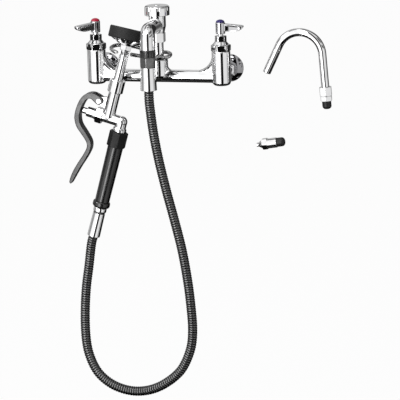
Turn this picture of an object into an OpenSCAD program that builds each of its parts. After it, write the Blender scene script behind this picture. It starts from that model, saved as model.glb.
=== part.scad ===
// Wall-mounted pre-rinse faucet: a two-valve mixing body, a riser with a vacuum breaker and an
// outlet elbow, a ribbed steel hose and a hand spray valve that hangs in a wire hook. A swivel
// gooseneck and a jet nozzle belong to the set and stand beside it.
// Millimetres. X points to the cold side, Y to the wall, Z up. The origin is on the wall,
// midway between the two inlets, at their height.

/* [Installation] */
// Distance between the two inlet centres
inlet_centres = 203.2; // [196:0.2:212]
// Distance from the wall to the valve axes
wall_offset = 55; // [53:0.5:60]
// Radius of the threaded inlet bores
inlet_bore_r = 9.5; // [8.8:0.1:9.8]
// Depth of the threaded inlet bores
inlet_bore_len = 15; // [12:0.5:17]
// Radius of the wall flanges
flange_r = 22; // [20:0.5:26]
// Height of a wall flange's dome, without its rim
flange_dome_h = 9; // [7:0.5:10]
// Length of a coupling nut between arm and flange
coupling_len = 18; // [16:0.5:19]

/* [Mixing body] */
// Radius of the valve towers
tower_r = 14.75; // [13.5:0.25:16]
// Height of the tower tops above the inlets
tower_top = 36; // [34:0.5:40]
// Depth of the tower bottoms below the inlets
tower_drop = 18.6; // [17:0.2:21]
// Radius of the crossbar
bar_r = 10; // [9:0.25:11]
// Drop of the crossbar's axis below the inlets
bar_drop = 5; // [4:0.5:6]
// Inner radius of the webs between crossbar and towers
crotch_r = 27; // [22:0.5:28]
// Radius of the inlet arms
arm_r = 10; // [9.4:0.1:10.6]
// Radius of the centre boss
boss_r = 14.8; // [13.5:0.2:15.4]
// Height of the centre boss above the inlets
boss_top = 22; // [20:0.5:24]

/* [Valves] */
// Radius of a valve chamber
chamber_r = 10.5; // [9.5:0.1:11]
// Radius over the corners of a bonnet
bonnet_r = 16; // [15.2:0.2:17]
// Height of a bonnet's hexagon
bonnet_hex_h = 10; // [8:0.5:12]
// Height of a bonnet's shoulder
bonnet_dome_h = 5; // [4:0.5:7]
// Radius over the corners of a packing nut
packing_r = 9.5; // [8.6:0.1:10]
// Height of a packing nut
packing_h = 9; // [7:0.5:11]
// Radius of a valve spindle
spindle_r = 4; // [3.4:0.1:4.4]

/* [Handles] */
// Height of bare spindle between packing nut and handle
hub_gap = 3; // [2:0.5:5]
// Radius of a handle's hub
hub_r = 7.5; // [7:0.1:8.2]
// Height of a handle's hub
hub_h = 18; // [17:0.5:21]
// Length of a handle's blade from the spindle's axis
blade_len = 37; // [33:0.5:45]
// Height of a blade at its root
blade_h = 13; // [11:0.5:14]
// Width of a blade at its nose
blade_w = 13; // [11:0.5:15]
// Radius of a temperature index
index_r = 6.7; // [6:0.1:7]
// Direction of the hot handle's blade, counted from the cold side
hot_angle = 225; // [180:1:240]
// Direction of the cold handle's blade, counted from the cold side
cold_angle = 8; // [0:1:12]

/* [Riser and vacuum breaker] */
// Outer radius of the riser pipe
riser_r = 8.55; // [8.2:0.05:8.7]
// Radius of the riser's waterway
riser_bore_r = 6.25; // [5.5:0.05:6.6]
// Height of the riser nut's bottom above the inlets
riser_nut_z = 49; // [46:0.5:52]
// Radius over the corners of the riser nut
riser_nut_r = 12.6; // [12.3:0.1:13.4]
// Height of the riser nut
riser_nut_h = 15; // [13:0.5:17]
// Largest radius of the vacuum breaker's body
breaker_r = 13.4; // [12.8:0.1:14.5]
// Height of the vacuum breaker's body above the riser nut
breaker_h = 28; // [27:0.5:32]
// Lift of the vacuum breaker's poppet
poppet_lift = 3; // [2:0.5:3.5]
// Radius of the hood
hood_r = 19.75; // [19:0.25:22]
// Height of the hood
hood_h = 15; // [14:0.5:18]
// Wall of the hood
hood_wall = 1.6; // [1.2:0.1:2]

/* [Outlet] */
// Distance from the riser's axis to the outlet's down leg
outlet_reach = 62; // [60:0.5:68]
// Outer radius of the outlet elbow
elbow_r = 11.5; // [11:0.1:12]
// Radius of the elbow's waterway
elbow_bore_r = 5; // [4.5:0.1:5.6]
// Bend radius of the elbow's axis
elbow_bend_r = 14; // [13:0.5:16]
// Length of the elbow's down leg below the bend
elbow_leg = 15.4; // [14:0.2:18]
// Radius of the grooved adapter
adapter_r = 12.2; // [11.4:0.1:12.6]
// Height of the grooved adapter
adapter_h = 11.6; // [10:0.2:14]
// Radius over the corners of the hose nut
hose_nut_r = 12.6; // [12:0.1:13.2]
// Height of the hose nut
hose_nut_h = 16; // [14.5:0.5:18]
// Radius of the upper ferrule at its foot
ferrule_r = 12.9; // [12:0.1:13.5]
// Length of the upper ferrule
ferrule_len = 35.7; // [30:0.1:40]

/* [Hose] */
// Outer radius of the ribs
hose_r = 7.65; // [7.2:0.05:8.2]
// Depth of the grooves between the ribs
rib_depth = 0.95; // [0.6:0.05:1.2]
// Radius of the hose's bore
hose_bore_r = 4.8; // [4:0.1:5.2]
// Number of ribs
rib_count = 196; // [150:1:200]

/* [Spray valve] */
// Tilt of the hanging sprayer
spray_tilt = 16; // [14:0.5:18]
// Outer radius of the valve barrel
barrel_r = 8.6; // [8.2:0.1:8.8]
// Radius of the valve's chambers
barrel_bore_r = 5.8; // [5.4:0.1:6]
// Distance from the wand's axis to the grip's axis
grip_offset = 22; // [21:0.5:24]
// Radius of the upright outlet sleeve
sleeve_r = 9.3; // [9:0.1:10]
// Length of the outlet sleeve above the barrel's axis
sleeve_len = 43; // [40:0.5:46]
// Radius over the corners of the valve bonnet
valve_bonnet_r = 13.5; // [12:0.1:14.5]
// Length of the valve bonnet's hexagon
valve_bonnet_len = 10.5; // [9:0.5:12]
// Radius of the plunger
plunger_r = 5; // [4.5:0.1:5.4]
// Length of bare plunger between housing and lever
plunger_out = 9; // [8.5:0.1:9.5]
// Travel of the plunger
plunger_travel = 6; // [4:0.5:6]

/* [Spray lever] */
// Width of the lever across its cheeks
lever_w = 17; // [15:0.5:20]
// Radius of the lever's pin
lever_pin_r = 2; // [1.6:0.1:2.4]
// Thickness of the lug that carries the lever
lug_t = 8; // [7:0.5:9]
// Height of the lever's pin above the barrel's axis
pin_up = 23.3; // [22.5:0.1:24.5]
// Distance of the lever's pin from the wand's axis
pin_out = 20; // [19:0.5:21]

/* [Grip] */
// Radius of the grip at its top
grip_r = 12.3; // [11.6:0.1:13]
// Radius of the grip at its foot
grip_foot_r = 11.5; // [10.8:0.1:12.2]
// Length of the grip sleeve
grip_len = 92; // [86:1:100]
// Radius over the corners of the grip's collar
collar_r = 15.2; // [14.2:0.1:16]
// Height of the grip's collar
collar_h = 24.4; // [20:0.2:26]
// Radius of the grip's end ring
end_ring_r = 13.8; // [13:0.1:15]
// Height of the grip's end ring
end_ring_h = 10; // [8:0.5:12]
// Radius of the tube inside the grip
grip_tube_r = 6.8; // [6.4:0.1:7]
// Radius of the rounded swivel nut
swivel_nut_r = 10.5; // [9.8:0.1:11]
// Height of the rounded swivel nut
swivel_nut_h = 9.7; // [9:0.1:12]
// Radius of the lower ferrule at its foot
low_ferrule_r = 10.2; // [9.6:0.1:11]
// Length of the lower ferrule
low_ferrule_len = 38.7; // [34:0.1:44]

/* [Wand and spray head] */
// Radius of the union nut
union_r = 12.4; // [12:0.1:13.4]
// Length of the union nut
union_len = 20.7; // [18:0.1:23]
// Radius of the wand at its foot
wand_r = 7.9; // [7.7:0.1:8.4]
// Radius of the wand at its top
wand_top_r = 7; // [6.6:0.1:7.3]
// Radius of the wand's waterway
wand_bore_r = 5; // [4.4:0.1:5.6]
// Lean of the spray head towards the wall
head_lean = 13; // [12:0.5:14]
// Turn of that lean to the hot side
head_turn = 16.5; // [15:0.5:20]
// Height of the dish's foot above the barrel's axis, before the wand's bend
dish_foot = 112.2; // [112:0.1:112.8]
// Radius of the spray dish
dish_r = 26.6; // [25.6:0.2:27.4]
// Height of the spray dish's cone
dish_h = 9; // [8.6:0.2:10]
// Outer radius of the rubber bumper
bumper_r = 31.4; // [30.6:0.2:31.6]
// Height of the rubber bumper
bumper_h = 18.5; // [17:0.5:20]
// Number of jets in the outer ring of the spray face
jet_count = 12; // [8:1:16]

/* [Hook] */
// Radius of the hook's wire
wire_r = 3; // [2.6:0.1:3]
// Bend radius of the hook's fork round the wand
fork_r = 24; // [23.6:0.1:24.4]

/* [Gooseneck and jet nozzle] */
// Outer radius of the gooseneck tube
neck_r = 6.35; // [6:0.05:6.7]
// Wall of the gooseneck tube
neck_wall = 1.2; // [1:0.1:2]
// Bend radius of the gooseneck's arch
arch_r = 42; // [38:1:46]
// Radius over the corners of the gooseneck's nut
neck_nut_r = 10.6; // [10.2:0.1:11.4]
// Radius over the corners of the jet's hexagon
jet_hex_r = 9.8; // [9:0.1:10.6]
// Radius of the jet's body
jet_body_r = 8; // [7.6:0.1:8.4]
// Radius of the black thread caps
cap_r = 7.2; // [6.9:0.1:7.6]

/* [Hidden] */
$fn = 48;

chrome = [0.8, 0.81, 0.83];
brass = [0.72, 0.6, 0.32];
black = [0.09, 0.09, 0.1];
grey = [0.42, 0.42, 0.43];
fibre = [0.16, 0.14, 0.13];

// Clearance of a piece in its seat
fit = 0.3;
// Overshoot of a cut past the face that it opens
cut = 1;

tower_x = inlet_centres / 2;
boss_foot = 3.4 - bar_drop - bar_r;
chamber_floor = 4;
bonnet_z = tower_top;
packing_z = bonnet_z + bonnet_hex_h + bonnet_dome_h;
hub_z = packing_z + packing_h + hub_gap;
hub_top = hub_z + hub_h;
spindle_bore_r = spindle_r + fit;
spindle_foot = chamber_floor + 6;
blade_drop = 1.5;

// Stations of an inlet joint, counted from the wall towards the valve
flange_rim = 2;
neck_end = -21.5;
washer_t = 2.5;
arm_end = neck_end - washer_t;
arm_collar_r = arm_r + 1.3;
coupling_end = arm_end - 7;
waterway_r = 8;
nut_shell = 4.6;

// Heights on the riser
riser_foot = 8;
spigot_len = 7;
riser_top = riser_nut_z + riser_nut_h - spigot_len;
breaker_z = riser_nut_z + riser_nut_h;
outlet_z = breaker_z + 12;
breaker_top = breaker_z + breaker_h;
breaker_sill = 7.5;
breaker_floor = outlet_z - breaker_sill;
breaker_chamber_r = breaker_r - 2.4;
breaker_foot_r = 11;
breaker_cone_h = 10;
breaker_port_r = breaker_r - 3.6;
hood_top = breaker_top + hood_h;
guide_t = 2;
guide_top = breaker_top + 9;
port_face = -15;

// Heights of the outlet, downwards
elbow_foot = outlet_z - elbow_bend_r - elbow_leg;
adapter_foot = elbow_foot - adapter_h;
hose_nut_foot = adapter_foot - hose_nut_h;
nipple_r = 8;
nipple_len = 8;
ferrule_foot = hose_nut_foot - fit - ferrule_len;
outlet_y = -wall_offset - outlet_reach;
stem_r = 5;
stem_bore_r = 3.5;

// The hanging sprayer: origin where the wand's axis crosses the barrel's axis
spray_x = -75.5;
spray_y = -88;
spray_z = -67.7;

// Stations along the barrel, towards the elbow
seat_near = 5;
seat_far = 8;
chamber_end = 25;
barrel_left = -17;
bonnet_right = -9.5;
bonnet_left = bonnet_right - valve_bonnet_len;
lever_inside = -25.2;
plunger_tip = lever_inside - pin_out + fit;
housing_left = plunger_tip + plunger_out;
gland_far = bonnet_left - 3;
elbow_leg_r = 9;
elbow_skirt_r = 10.8;
elbow_skirt_h = 6.5;
valve_stem_r = 2.9;

// Reach of the lever's cuts from its pin
lever_crown = 20;
lever_shoulder = 40;
lever_reach = 150;
lever_depth = 60;
slot_depth = 8.5;

// Stations along the grip, downwards from the barrel's axis
leg_foot = -16.3;
collar_top = leg_foot - fit;
collar_foot = collar_top - collar_h;
sleeve_foot = collar_foot - grip_len;
ring_foot = sleeve_foot - end_ring_h;
swivel_top = ring_foot - fit;
swivel_foot = swivel_top - swivel_nut_h;
low_ferrule_top = swivel_foot - fit;
low_ferrule_foot = low_ferrule_top - low_ferrule_len;
tube_foot = swivel_top - 2.7;

// Stations up the wand from the barrel's axis
union_foot = sleeve_len + fit;
union_top = union_foot + union_len;
wand_foot = sleeve_len + 11.3;
wand_flange_top = union_top - 4;
head_bend_z = 98;
head_bend_r = 30;
dish_top = dish_foot + dish_h;
bumper_top = dish_top + bumper_h;
hub_foot = dish_foot - 7;
wand_end = dish_foot + 3;
face_z = bumper_top - 8;

// Route of the hose: from the upper ferrule, straight down, round the loop and up to the sprayer
hose_start = [0, outlet_y, ferrule_foot];
hose_end = [spray_x + grip_offset * cos(spray_tilt) + low_ferrule_foot * sin(spray_tilt),
            spray_y,
            spray_z - grip_offset * sin(spray_tilt) + low_ferrule_foot * cos(spray_tilt)];
hose_turns = [
  [1, -116, -50], [5, -114, -90], [12, -113, -132], [22, -111, -180], [33, -110, -226],
  [43, -108, -273], [50, -106, -322], [54, -105, -365], [55, -103, -405], [50, -102, -437],
  [34, -101, -470], [8, -100, -493], [-20, -99, -506], [-50, -98, -509], [-80, -97, -501],
  [-104, -96, -483], [-118, -95, -457], [-124, -94, -428], [-125, -92, -388],
  [-122, -90.5, -345], [-116.5, -89, -308]
];
hose_straight = 2 * hose_r;
hose_sides = 8;
hose_bore_rings = 54;

// Bend and fork of the hook: centres, how far they tip forward and how far the fork rolls right
eye_r = riser_r + wire_r + fit;
eye_tip = 13;
eye_centre = [7.3, -wall_offset, boss_top + fit + wire_r + eye_r * sin(eye_tip)];
fork_centre = [-42.5, spray_y, 41.1];
fork_tip = 6;
fork_roll = 10;

// ---------------------------------------------------------------- helpers

// A turned solid with rounded outer edges at its foot and head
module turned(r, z0, z1, low = 0, high = 0) {
  rotate_extrude() {
    translate([0, z0 + low]) square([r, z1 - z0 - low - high]);
    if (low > 0) {
      translate([0, z0]) square([r - low, low + 0.01]);
      intersection() {
        translate([r - low, z0 + low]) circle(low);
        translate([0, z0]) square([r, low + 0.01]);
      }
    }
    if (high > 0) {
      translate([0, z1 - high - 0.01]) square([r - high, high + 0.01]);
      intersection() {
        translate([r - high, z1 - high]) circle(high);
        translate([0, z1 - high - 0.01]) square([r, high + 0.01]);
      }
    }
  }
}

// A straight bore or post between two heights
module post(r, z0, z1) {
  translate([0, 0, z0]) cylinder(r = r, h = z1 - z0);
}

// A nut with chamfered and slightly rounded corners, r over the corners
module hex_nut(r, z0, z1, sides = 6) {
  corner_r = r - 0.2;
  chamfer = r * 0.1;
  rise = r * 0.06;
  intersection() {
    translate([0, 0, z0]) rotate([0, 0, 180 / sides]) cylinder(r = r, h = z1 - z0, $fn = sides);
    rotate_extrude() polygon([
      [0, z0], [corner_r - chamfer, z0], [corner_r, z0 + rise],
      [corner_r, z1 - rise], [corner_r - chamfer, z1], [0, z1]
    ]);
  }
}

// A quarter of a bent rod in the XZ plane, from straight down to straight across
module quarter_bend(bend_r, rod_r) {
  rotate([90, 0, 0]) rotate([0, 0, -90])
    rotate_extrude(angle = 90) translate([bend_r, 0]) circle(rod_r);
}

// Places children on a valve's axis; side is -1 for hot and 1 for cold
module at_valve(side) {
  translate([side * tower_x, -wall_offset, 0]) children();
}

// Places children at an inlet with their Z towards the wall
module at_inlet(side) {
  translate([side * tower_x, 0, 0]) rotate([-90, 0, 0]) children();
}

// Places children on the riser's axis
module at_riser() {
  translate([0, -wall_offset, 0]) children();
}

// Places children on the down leg's axis
module at_outlet() {
  translate([0, outlet_y, 0]) children();
}

// Places children in the sprayer's frame: Z up the wand, X towards the grip
module at_sprayer() {
  translate([spray_x, spray_y, spray_z]) rotate([0, spray_tilt, 0]) children();
}

// Places children in the spray head's frame, which leans to the wall behind the wand's bend
module at_head() {
  at_sprayer() rotate([0, 0, head_turn])
    translate([0, head_bend_r, head_bend_z]) rotate([-head_lean, 0, 0])
    translate([0, -head_bend_r, -head_bend_z]) children();
}

// Places children on the grip's axis in the sprayer's frame
module at_grip() {
  at_sprayer() translate([grip_offset, 0, 0]) children();
}

// Turns a post along Z into one along the barrel
module along_barrel() {
  rotate([0, 90, 0]) children();
}

// Unit vector along v
function unit(v) = v / norm(v);

// Point of a smooth curve through p1 and p2, with neighbours p0 and p3
function curve_at(p0, p1, p2, p3, t) =
  0.5 * (2 * p1 + (p2 - p0) * t + (2 * p0 - 5 * p1 + 4 * p2 - p3) * t * t
         + (3 * p1 - p0 - 3 * p2 + p3) * t * t * t);

// Smooth curve through all points but the first and last, which only steer it
function smooth(points, steps) = [
  for (i = [1 : len(points) - 3], k = [0 : steps - 1])
    curve_at(points[i - 1], points[i], points[i + 1], points[i + 2], k / steps),
  points[len(points) - 2]
];

// Running length at each point of a path
function run_lengths(path) = [
  for (i = 0, s = 0; i < len(path);
       s = s + (i + 1 < len(path) ? norm(path[i + 1] - path[i]) : 0), i = i + 1) s
];

// Ring of points round a place, square to a direction
function ring_at(place, along, r, sides) =
  let (side = unit(cross([0, 1, 0], along)), up = cross(along, side))
    [for (k = [0 : sides - 1])
      place + r * (cos(360 * k / sides) * side + sin(360 * k / sides) * up)];

// Triangles between successive rings of points, from ring a to ring b
function skin(rings, sides, first = 0, flip = false) = [
  for (i = [0 : rings - 2], k = [0 : sides - 1])
    let (a = first + i * sides + k, b = first + i * sides + (k + 1) % sides)
      each (flip
        ? [[a, b, b + sides], [a, b + sides, a + sides]]
        : [[a, b + sides, b], [a, a + sides, b + sides]])
];

// ---------------------------------------------------------------- mixing body

// Web that carries the crossbar's top line up into an upright post of radius post_r
module web(post_r, inner_r, rod_r) {
  sunk = 0.5;
  bend_r = inner_r + rod_r;
  translate([-post_r + rod_r + sunk - bend_r, 0, bar_r - bar_drop - rod_r - sunk + bend_r])
    quarter_bend(bend_r, rod_r);
}

module tower_outside() {
  turned(tower_r, -tower_drop, tower_top, low = 6);
  rotate([-90, 0, 0]) {
    post(arm_r, 0, wall_offset + arm_end);
    post(arm_collar_r, wall_offset + arm_end - 3, wall_offset + arm_end);
  }
}

module tower_inside() {
  post(chamber_r, chamber_floor, tower_top + cut);
  post(waterway_r - 2, -bar_drop, chamber_floor + cut);
  rotate([-90, 0, 0]) post(waterway_r, 0, wall_offset + arm_end + cut);
}

module faucet_body() color(chrome) difference() {
  union() {
    at_valve(-1) tower_outside();
    at_valve(1) tower_outside();
    at_valve(1) web(tower_r, crotch_r, bar_r * 0.8);
    at_valve(-1) mirror([1, 0, 0]) web(tower_r, crotch_r, bar_r * 0.8);
    at_riser() {
      translate([-tower_x, 0, -bar_drop]) along_barrel() post(bar_r, 0, inlet_centres);
      turned(boss_r, boss_foot, boss_top, low = boss_r * 0.7, high = 1);
      web(boss_r, crotch_r / 3, bar_r * 0.7);
      mirror([1, 0, 0]) web(boss_r, crotch_r / 3, bar_r * 0.7);
    }
  }
  at_valve(-1) tower_inside();
  at_valve(1) tower_inside();
  at_riser() {
    translate([-tower_x, 0, -bar_drop]) along_barrel() post(waterway_r - 2, 0, inlet_centres);
    post(riser_bore_r, -bar_drop, riser_foot + cut);
    post(riser_r + fit, riser_foot, boss_top + cut);
  }
}

// Domed wall flange with the threaded inlet and the neck that the coupling nut draws in
module inlet(side) color(chrome) {
  dome_r = (flange_r * flange_r + flange_dome_h * flange_dome_h) / (2 * flange_dome_h);
  dome_top = -flange_rim - flange_dome_h;
  at_inlet(side) difference() {
    union() {
      rotate_extrude() {
        intersection() {
          translate([0, dome_top + dome_r]) circle(dome_r, $fn = 96);
          translate([0, dome_top - cut]) square([flange_r, flange_dome_h + cut]);
        }
        translate([0, -flange_rim]) square([flange_r, flange_rim]);
      }
      post(arm_collar_r, neck_end, dome_top + 3);
    }
    post(inlet_bore_r, -inlet_bore_len, cut);
    post(waterway_r, neck_end - cut, 0);
  }
}

module coupling_nut(side) color(chrome) at_inlet(side) difference() {
  hex_nut(arm_collar_r + nut_shell, coupling_end, coupling_end + coupling_len);
  post(arm_r + fit, coupling_end - cut, arm_end - 3 + cut);
  post(arm_collar_r + fit, arm_end - 3 - fit, coupling_end + coupling_len + cut);
}

module inlet_washer(side) color(fibre) at_inlet(side) difference() {
  post(arm_collar_r - fit, arm_end, neck_end);
  post(waterway_r, arm_end - cut, neck_end + cut);
}

// ---------------------------------------------------------------- valves and handles

module cartridge(side) color(brass) at_valve(side) difference() {
  union() {
    post(chamber_r - fit, chamber_floor, tower_top);
    post(chamber_r - 2, tower_top, tower_top + bonnet_hex_h - 3);
  }
  post(spindle_bore_r, spindle_foot - fit, tower_top + bonnet_hex_h);
}

module bonnet(side) color(chrome) at_valve(side) difference() {
  union() {
    hex_nut(bonnet_r, bonnet_z, bonnet_z + bonnet_hex_h);
    translate([0, 0, bonnet_z + bonnet_hex_h - cut])
      cylinder(r1 = bonnet_r * 0.88, r2 = packing_r * 0.98, h = bonnet_dome_h + cut);
  }
  post(chamber_r - 2 + fit, bonnet_z - cut, bonnet_z + bonnet_hex_h - 3 + fit);
  post(spindle_bore_r, bonnet_z, packing_z + cut);
}

module packing_nut(side) color(chrome) at_valve(side) difference() {
  hex_nut(packing_r, packing_z, packing_z + packing_h);
  post(spindle_bore_r, packing_z - cut, packing_z + packing_h + cut);
}

module spindle(side) color(brass) at_valve(side) difference() {
  post(spindle_r, spindle_foot, hub_top - 5);
  post(1.9, hub_top - 15, hub_top);
}

// Outline of a handle's blade seen from the side; x runs out from the spindle
module blade_side() {
  top = hub_top - blade_drop;
  foot = top - blade_h;
  polygon([
    [0, top], [blade_len - 1, top - 4.2], [blade_len, top - 4.9], [blade_len - 0.8, top - 6.4],
    [blade_len - 3.5, top - 9.2], [blade_len - 8, foot + 1.4], [blade_len - 14, foot],
    [hub_r, foot + 0.6], [0, foot + 0.6]
  ]);
}

// Plan of a handle's blade, narrow at the hub and round at the nose
module blade_plan() {
  nose_r = blade_w / 2;
  polygon([[0, -5], [blade_len - nose_r, -nose_r], [blade_len - nose_r, nose_r], [0, 5]]);
  translate([blade_len - nose_r, 0]) circle(nose_r);
}

module handle(side, angle) color(chrome) at_valve(side) difference() {
  union() {
    turned(hub_r, hub_z, hub_top, low = 1.2, high = 0.8);
    rotate([0, 0, angle]) intersection() {
      rotate([90, 0, 0]) translate([0, 0, -blade_w]) linear_extrude(2 * blade_w) blade_side();
      translate([0, 0, hub_z]) linear_extrude(hub_h) blade_plan();
    }
  }
  post(spindle_r + 0.05, hub_z - cut, hub_top - 5 + 0.05);
  post(2.3, hub_z, hub_top);
  post(index_r - 2, hub_top - 3.5, hub_top + cut);
}

module handle_screw(side) color(chrome) at_valve(side) {
  post(1.7, hub_top - 13, hub_top - 3);
  post(index_r - 2.6, hub_top - 3.5, hub_top - 1.6);
}

// Coloured button: a plug in the hub under a domed cap
module index(side, tint) color(tint) at_valve(side) {
  post(index_r - 2 - 0.1, hub_top - 1.4, hub_top + 0.2);
  translate([0, 0, hub_top]) intersection() {
    turned(index_r, 0, 4.6, low = 0.8);
    translate([0, 0, 4.6 - 9]) sphere(9);
  }
}

// ---------------------------------------------------------------- riser and vacuum breaker

module riser_pipe() color(chrome) at_riser() difference() {
  post(riser_r, riser_foot, riser_top);
  post(riser_bore_r, riser_foot - cut, riser_top + cut);
}

module riser_nut() color(chrome) at_riser() difference() {
  hex_nut(riser_nut_r, riser_nut_z, breaker_z);
  post(riser_r + fit, riser_nut_z - cut, riser_top);
  post(riser_r + 1.75, riser_top - fit, breaker_z + cut);
}

module breaker_body() color(chrome) at_riser() difference() {
  union() {
    rotate_extrude() polygon([
      [0, riser_top], [riser_r + 1.45, riser_top], [riser_r + 1.45, breaker_z + fit],
      [breaker_foot_r, breaker_z + fit], [breaker_r, breaker_z + breaker_cone_h],
      [breaker_r, breaker_top - 0.6], [breaker_r - 0.6, breaker_top], [0, breaker_top]
    ]);
    translate([0, 0, outlet_z]) rotate([90, 0, 0]) post(breaker_port_r, 0, -port_face);
  }
  post(riser_bore_r, riser_top - cut, breaker_floor + cut);
  post(breaker_chamber_r, breaker_floor, breaker_top + cut);
  translate([0, 0, outlet_z]) rotate([90, 0, 0]) post(elbow_bore_r + 1, 0, cut - port_face);
}

module breaker_poppet() color(black) at_riser() {
  post(breaker_chamber_r - 1.4, breaker_floor + fit, breaker_floor + fit + 3);
  post(2.5, breaker_floor + fit + 2, breaker_top + 2);
}

// Vented plate that guides the poppet's stem and carries the hood
module breaker_guide() color(brass) at_riser() difference() {
  union() {
    post(breaker_r - 0.6, breaker_top, breaker_top + guide_t);
    post(4.6, breaker_top, guide_top);
  }
  post(2.8, breaker_top - cut, breaker_top + 2 + poppet_lift + fit);
  post(1.6, guide_top - 3, guide_top + cut);
  for (turn = [0 : 60 : 300])
    rotate([0, 0, turn]) translate([8, 0, 0]) post(1.9, breaker_top - cut, breaker_top + guide_t + cut);
}

module breaker_hood() color(chrome) at_riser() difference() {
  union() {
    difference() {
      turned(hood_r, breaker_top - 0.4, hood_top, low = 0.5, high = 4);
      turned(hood_r - hood_wall, breaker_top - 6, hood_top - hood_wall, high = 3);
    }
    post(4.6, guide_top, hood_top - hood_wall + 0.2);
  }
  post(1.9, guide_top - cut, hood_top + cut);
  post(4.4, hood_top - 1.2, hood_top + cut);
  for (turn = [22.5 : 45 : 359])
    rotate([0, 0, turn]) translate([hood_r + 2.2, 0, 0]) post(3, hood_top - 7.5, hood_top + cut);
}

module breaker_screw() color(chrome) at_riser() {
  post(1.4, guide_top - 2.6, hood_top - 1);
  turned(4.1, hood_top - 1.2, hood_top + 0.4, high = 0.5);
}

// ---------------------------------------------------------------- outlet

// Rod that runs forward from the vacuum breaker, bends down and ends at the elbow's foot
module elbow_rod(rod_r, over) {
  bend_y = outlet_y + elbow_bend_r;
  rear_y = port_face - wall_offset;
  translate([0, rear_y + over, outlet_z]) rotate([90, 0, 0]) post(rod_r, 0, rear_y + over - bend_y);
  translate([0, bend_y, outlet_z - elbow_bend_r]) rotate([0, 0, -90]) rotate([90, 0, 0])
    rotate_extrude(angle = 90) translate([elbow_bend_r, 0]) circle(rod_r);
  at_outlet() post(rod_r, elbow_foot - over, outlet_z - elbow_bend_r);
}

module outlet_elbow() color(chrome) {
  nipple = -port_face - breaker_chamber_r - fit;
  difference() {
    union() {
      elbow_rod(elbow_r, 0);
      translate([0, port_face - wall_offset, outlet_z]) rotate([90, 0, 0]) {
        post(elbow_r + 0.8, 0, 4);
        post(elbow_bore_r + 0.7, -nipple, cut);
      }
    }
    elbow_rod(elbow_bore_r - 0.6, nipple + cut);
    at_outlet() post(nipple_r + fit, elbow_foot - cut, elbow_foot + nipple_len + fit);
  }
}

// Swivel adapter with a grooved collar between elbow and hose nut
module hose_adapter() color(grey) at_outlet() difference() {
  union() {
    turned(adapter_r, adapter_foot, elbow_foot, low = 0.8, high = 0.8);
    post(nipple_r, adapter_foot - nipple_len, elbow_foot + nipple_len);
  }
  post(elbow_bore_r - 0.6, adapter_foot - nipple_len - cut, elbow_foot + nipple_len + cut);
  for (turn = [0 : 20 : 340])
    rotate([0, 0, turn]) translate([adapter_r + 0.5, 0, 0]) post(1, adapter_foot - cut, elbow_foot - 3.4);
}

module hose_nut() color(chrome) at_outlet() difference() {
  hex_nut(hose_nut_r, hose_nut_foot, adapter_foot);
  post(nipple_r + fit, hose_nut_foot + 3, adapter_foot + cut);
  post(stem_r + fit, hose_nut_foot - cut, adapter_foot);
}

// A flat washer between two tube ends
module joint_washer(r, bore, z0, z1) {
  color(fibre) difference() {
    post(r, z0, z1);
    post(bore, z0 - cut, z1 + cut);
  }
}

module hose_washer() {
  at_outlet() joint_washer(nipple_r, stem_bore_r + 1, hose_nut_foot + 5.5, adapter_foot - nipple_len);
}

// A ferrule: tapered skirt and a flanged stem
module ferrule(foot_r, head_r, foot, head, stem_top, flange_t, flange_r) {
  color(chrome) difference() {
    union() {
      translate([0, 0, foot]) cylinder(r1 = foot_r, r2 = head_r, h = head - foot);
      post(stem_r, head - cut, stem_top);
      post(flange_r, stem_top - flange_t, stem_top);
    }
    post(stem_bore_r, foot - cut, stem_top + cut);
    translate([0, 0, foot - cut]) cylinder(r1 = hose_bore_r + cut, r2 = stem_bore_r, h = 4);
  }
}

module upper_ferrule() {
  at_outlet() ferrule(ferrule_r, ferrule_r - 1, ferrule_foot, hose_nut_foot - fit,
                      hose_nut_foot + 5.5, 2.2, nipple_r);
}

// ---------------------------------------------------------------- hose

// Ribbed steel hose: an outer skin of ribs along the route and a plain bore inside it
module hose() {
  down = [0, 0, -1];
  back_up = [sin(spray_tilt), 0, cos(spray_tilt)];
  first_turn = hose_start + hose_straight * down;
  last_turn = hose_end - hose_straight * back_up;
  middle = smooth(concat([hose_start, first_turn], hose_turns, [last_turn, hose_end]), 8);
  route = concat([hose_start], middle, [hose_end]);
  lengths = run_lengths(route);
  total = lengths[len(route) - 1];
  tables = [for (axis = [0 : 2]) [for (i = [0 : len(route) - 1]) [lengths[i], route[i][axis]]]];
  function place(s) = [for (axis = [0 : 2]) lookup(s, tables[axis])];
  function heading(s) =
    s < hose_straight * 0.9 ? down
    : s > total - hose_straight * 0.9 ? back_up
    : unit(place(min(total, s + 3)) - place(max(0, s - 3)));
  function hose_ring(s, r) = ring_at(place(s), heading(s), r, hose_sides);
  pitch = total / rib_count;
  rib_rings = 2 * rib_count + 1;
  outer = [for (i = [0 : rib_rings - 1])
    each hose_ring(i * pitch / 2, i % 2 == 0 ? hose_r - rib_depth : hose_r)];
  inner = [for (i = [0 : hose_bore_rings - 1])
    each hose_ring(i * total / (hose_bore_rings - 1), hose_bore_r)];
  inner_first = rib_rings * hose_sides;
  last_outer = (rib_rings - 1) * hose_sides;
  last_inner = inner_first + (hose_bore_rings - 1) * hose_sides;
  ends = [for (k = [0 : hose_sides - 1]) let (n = (k + 1) % hose_sides) each [
    [k, n, inner_first + n], [k, inner_first + n, inner_first + k],
    [last_outer + k, last_inner + n, last_outer + n], [last_outer + k, last_inner + k, last_inner + n]
  ]];
  echo(hose_length = total, rib_pitch = pitch);
  color(chrome) polyhedron(
    concat(outer, inner),
    concat(skin(rib_rings, hose_sides), skin(hose_bore_rings, hose_sides, inner_first, true), ends),
    convexity = 10
  );
}

// ---------------------------------------------------------------- sprayer: foot of the grip

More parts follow.
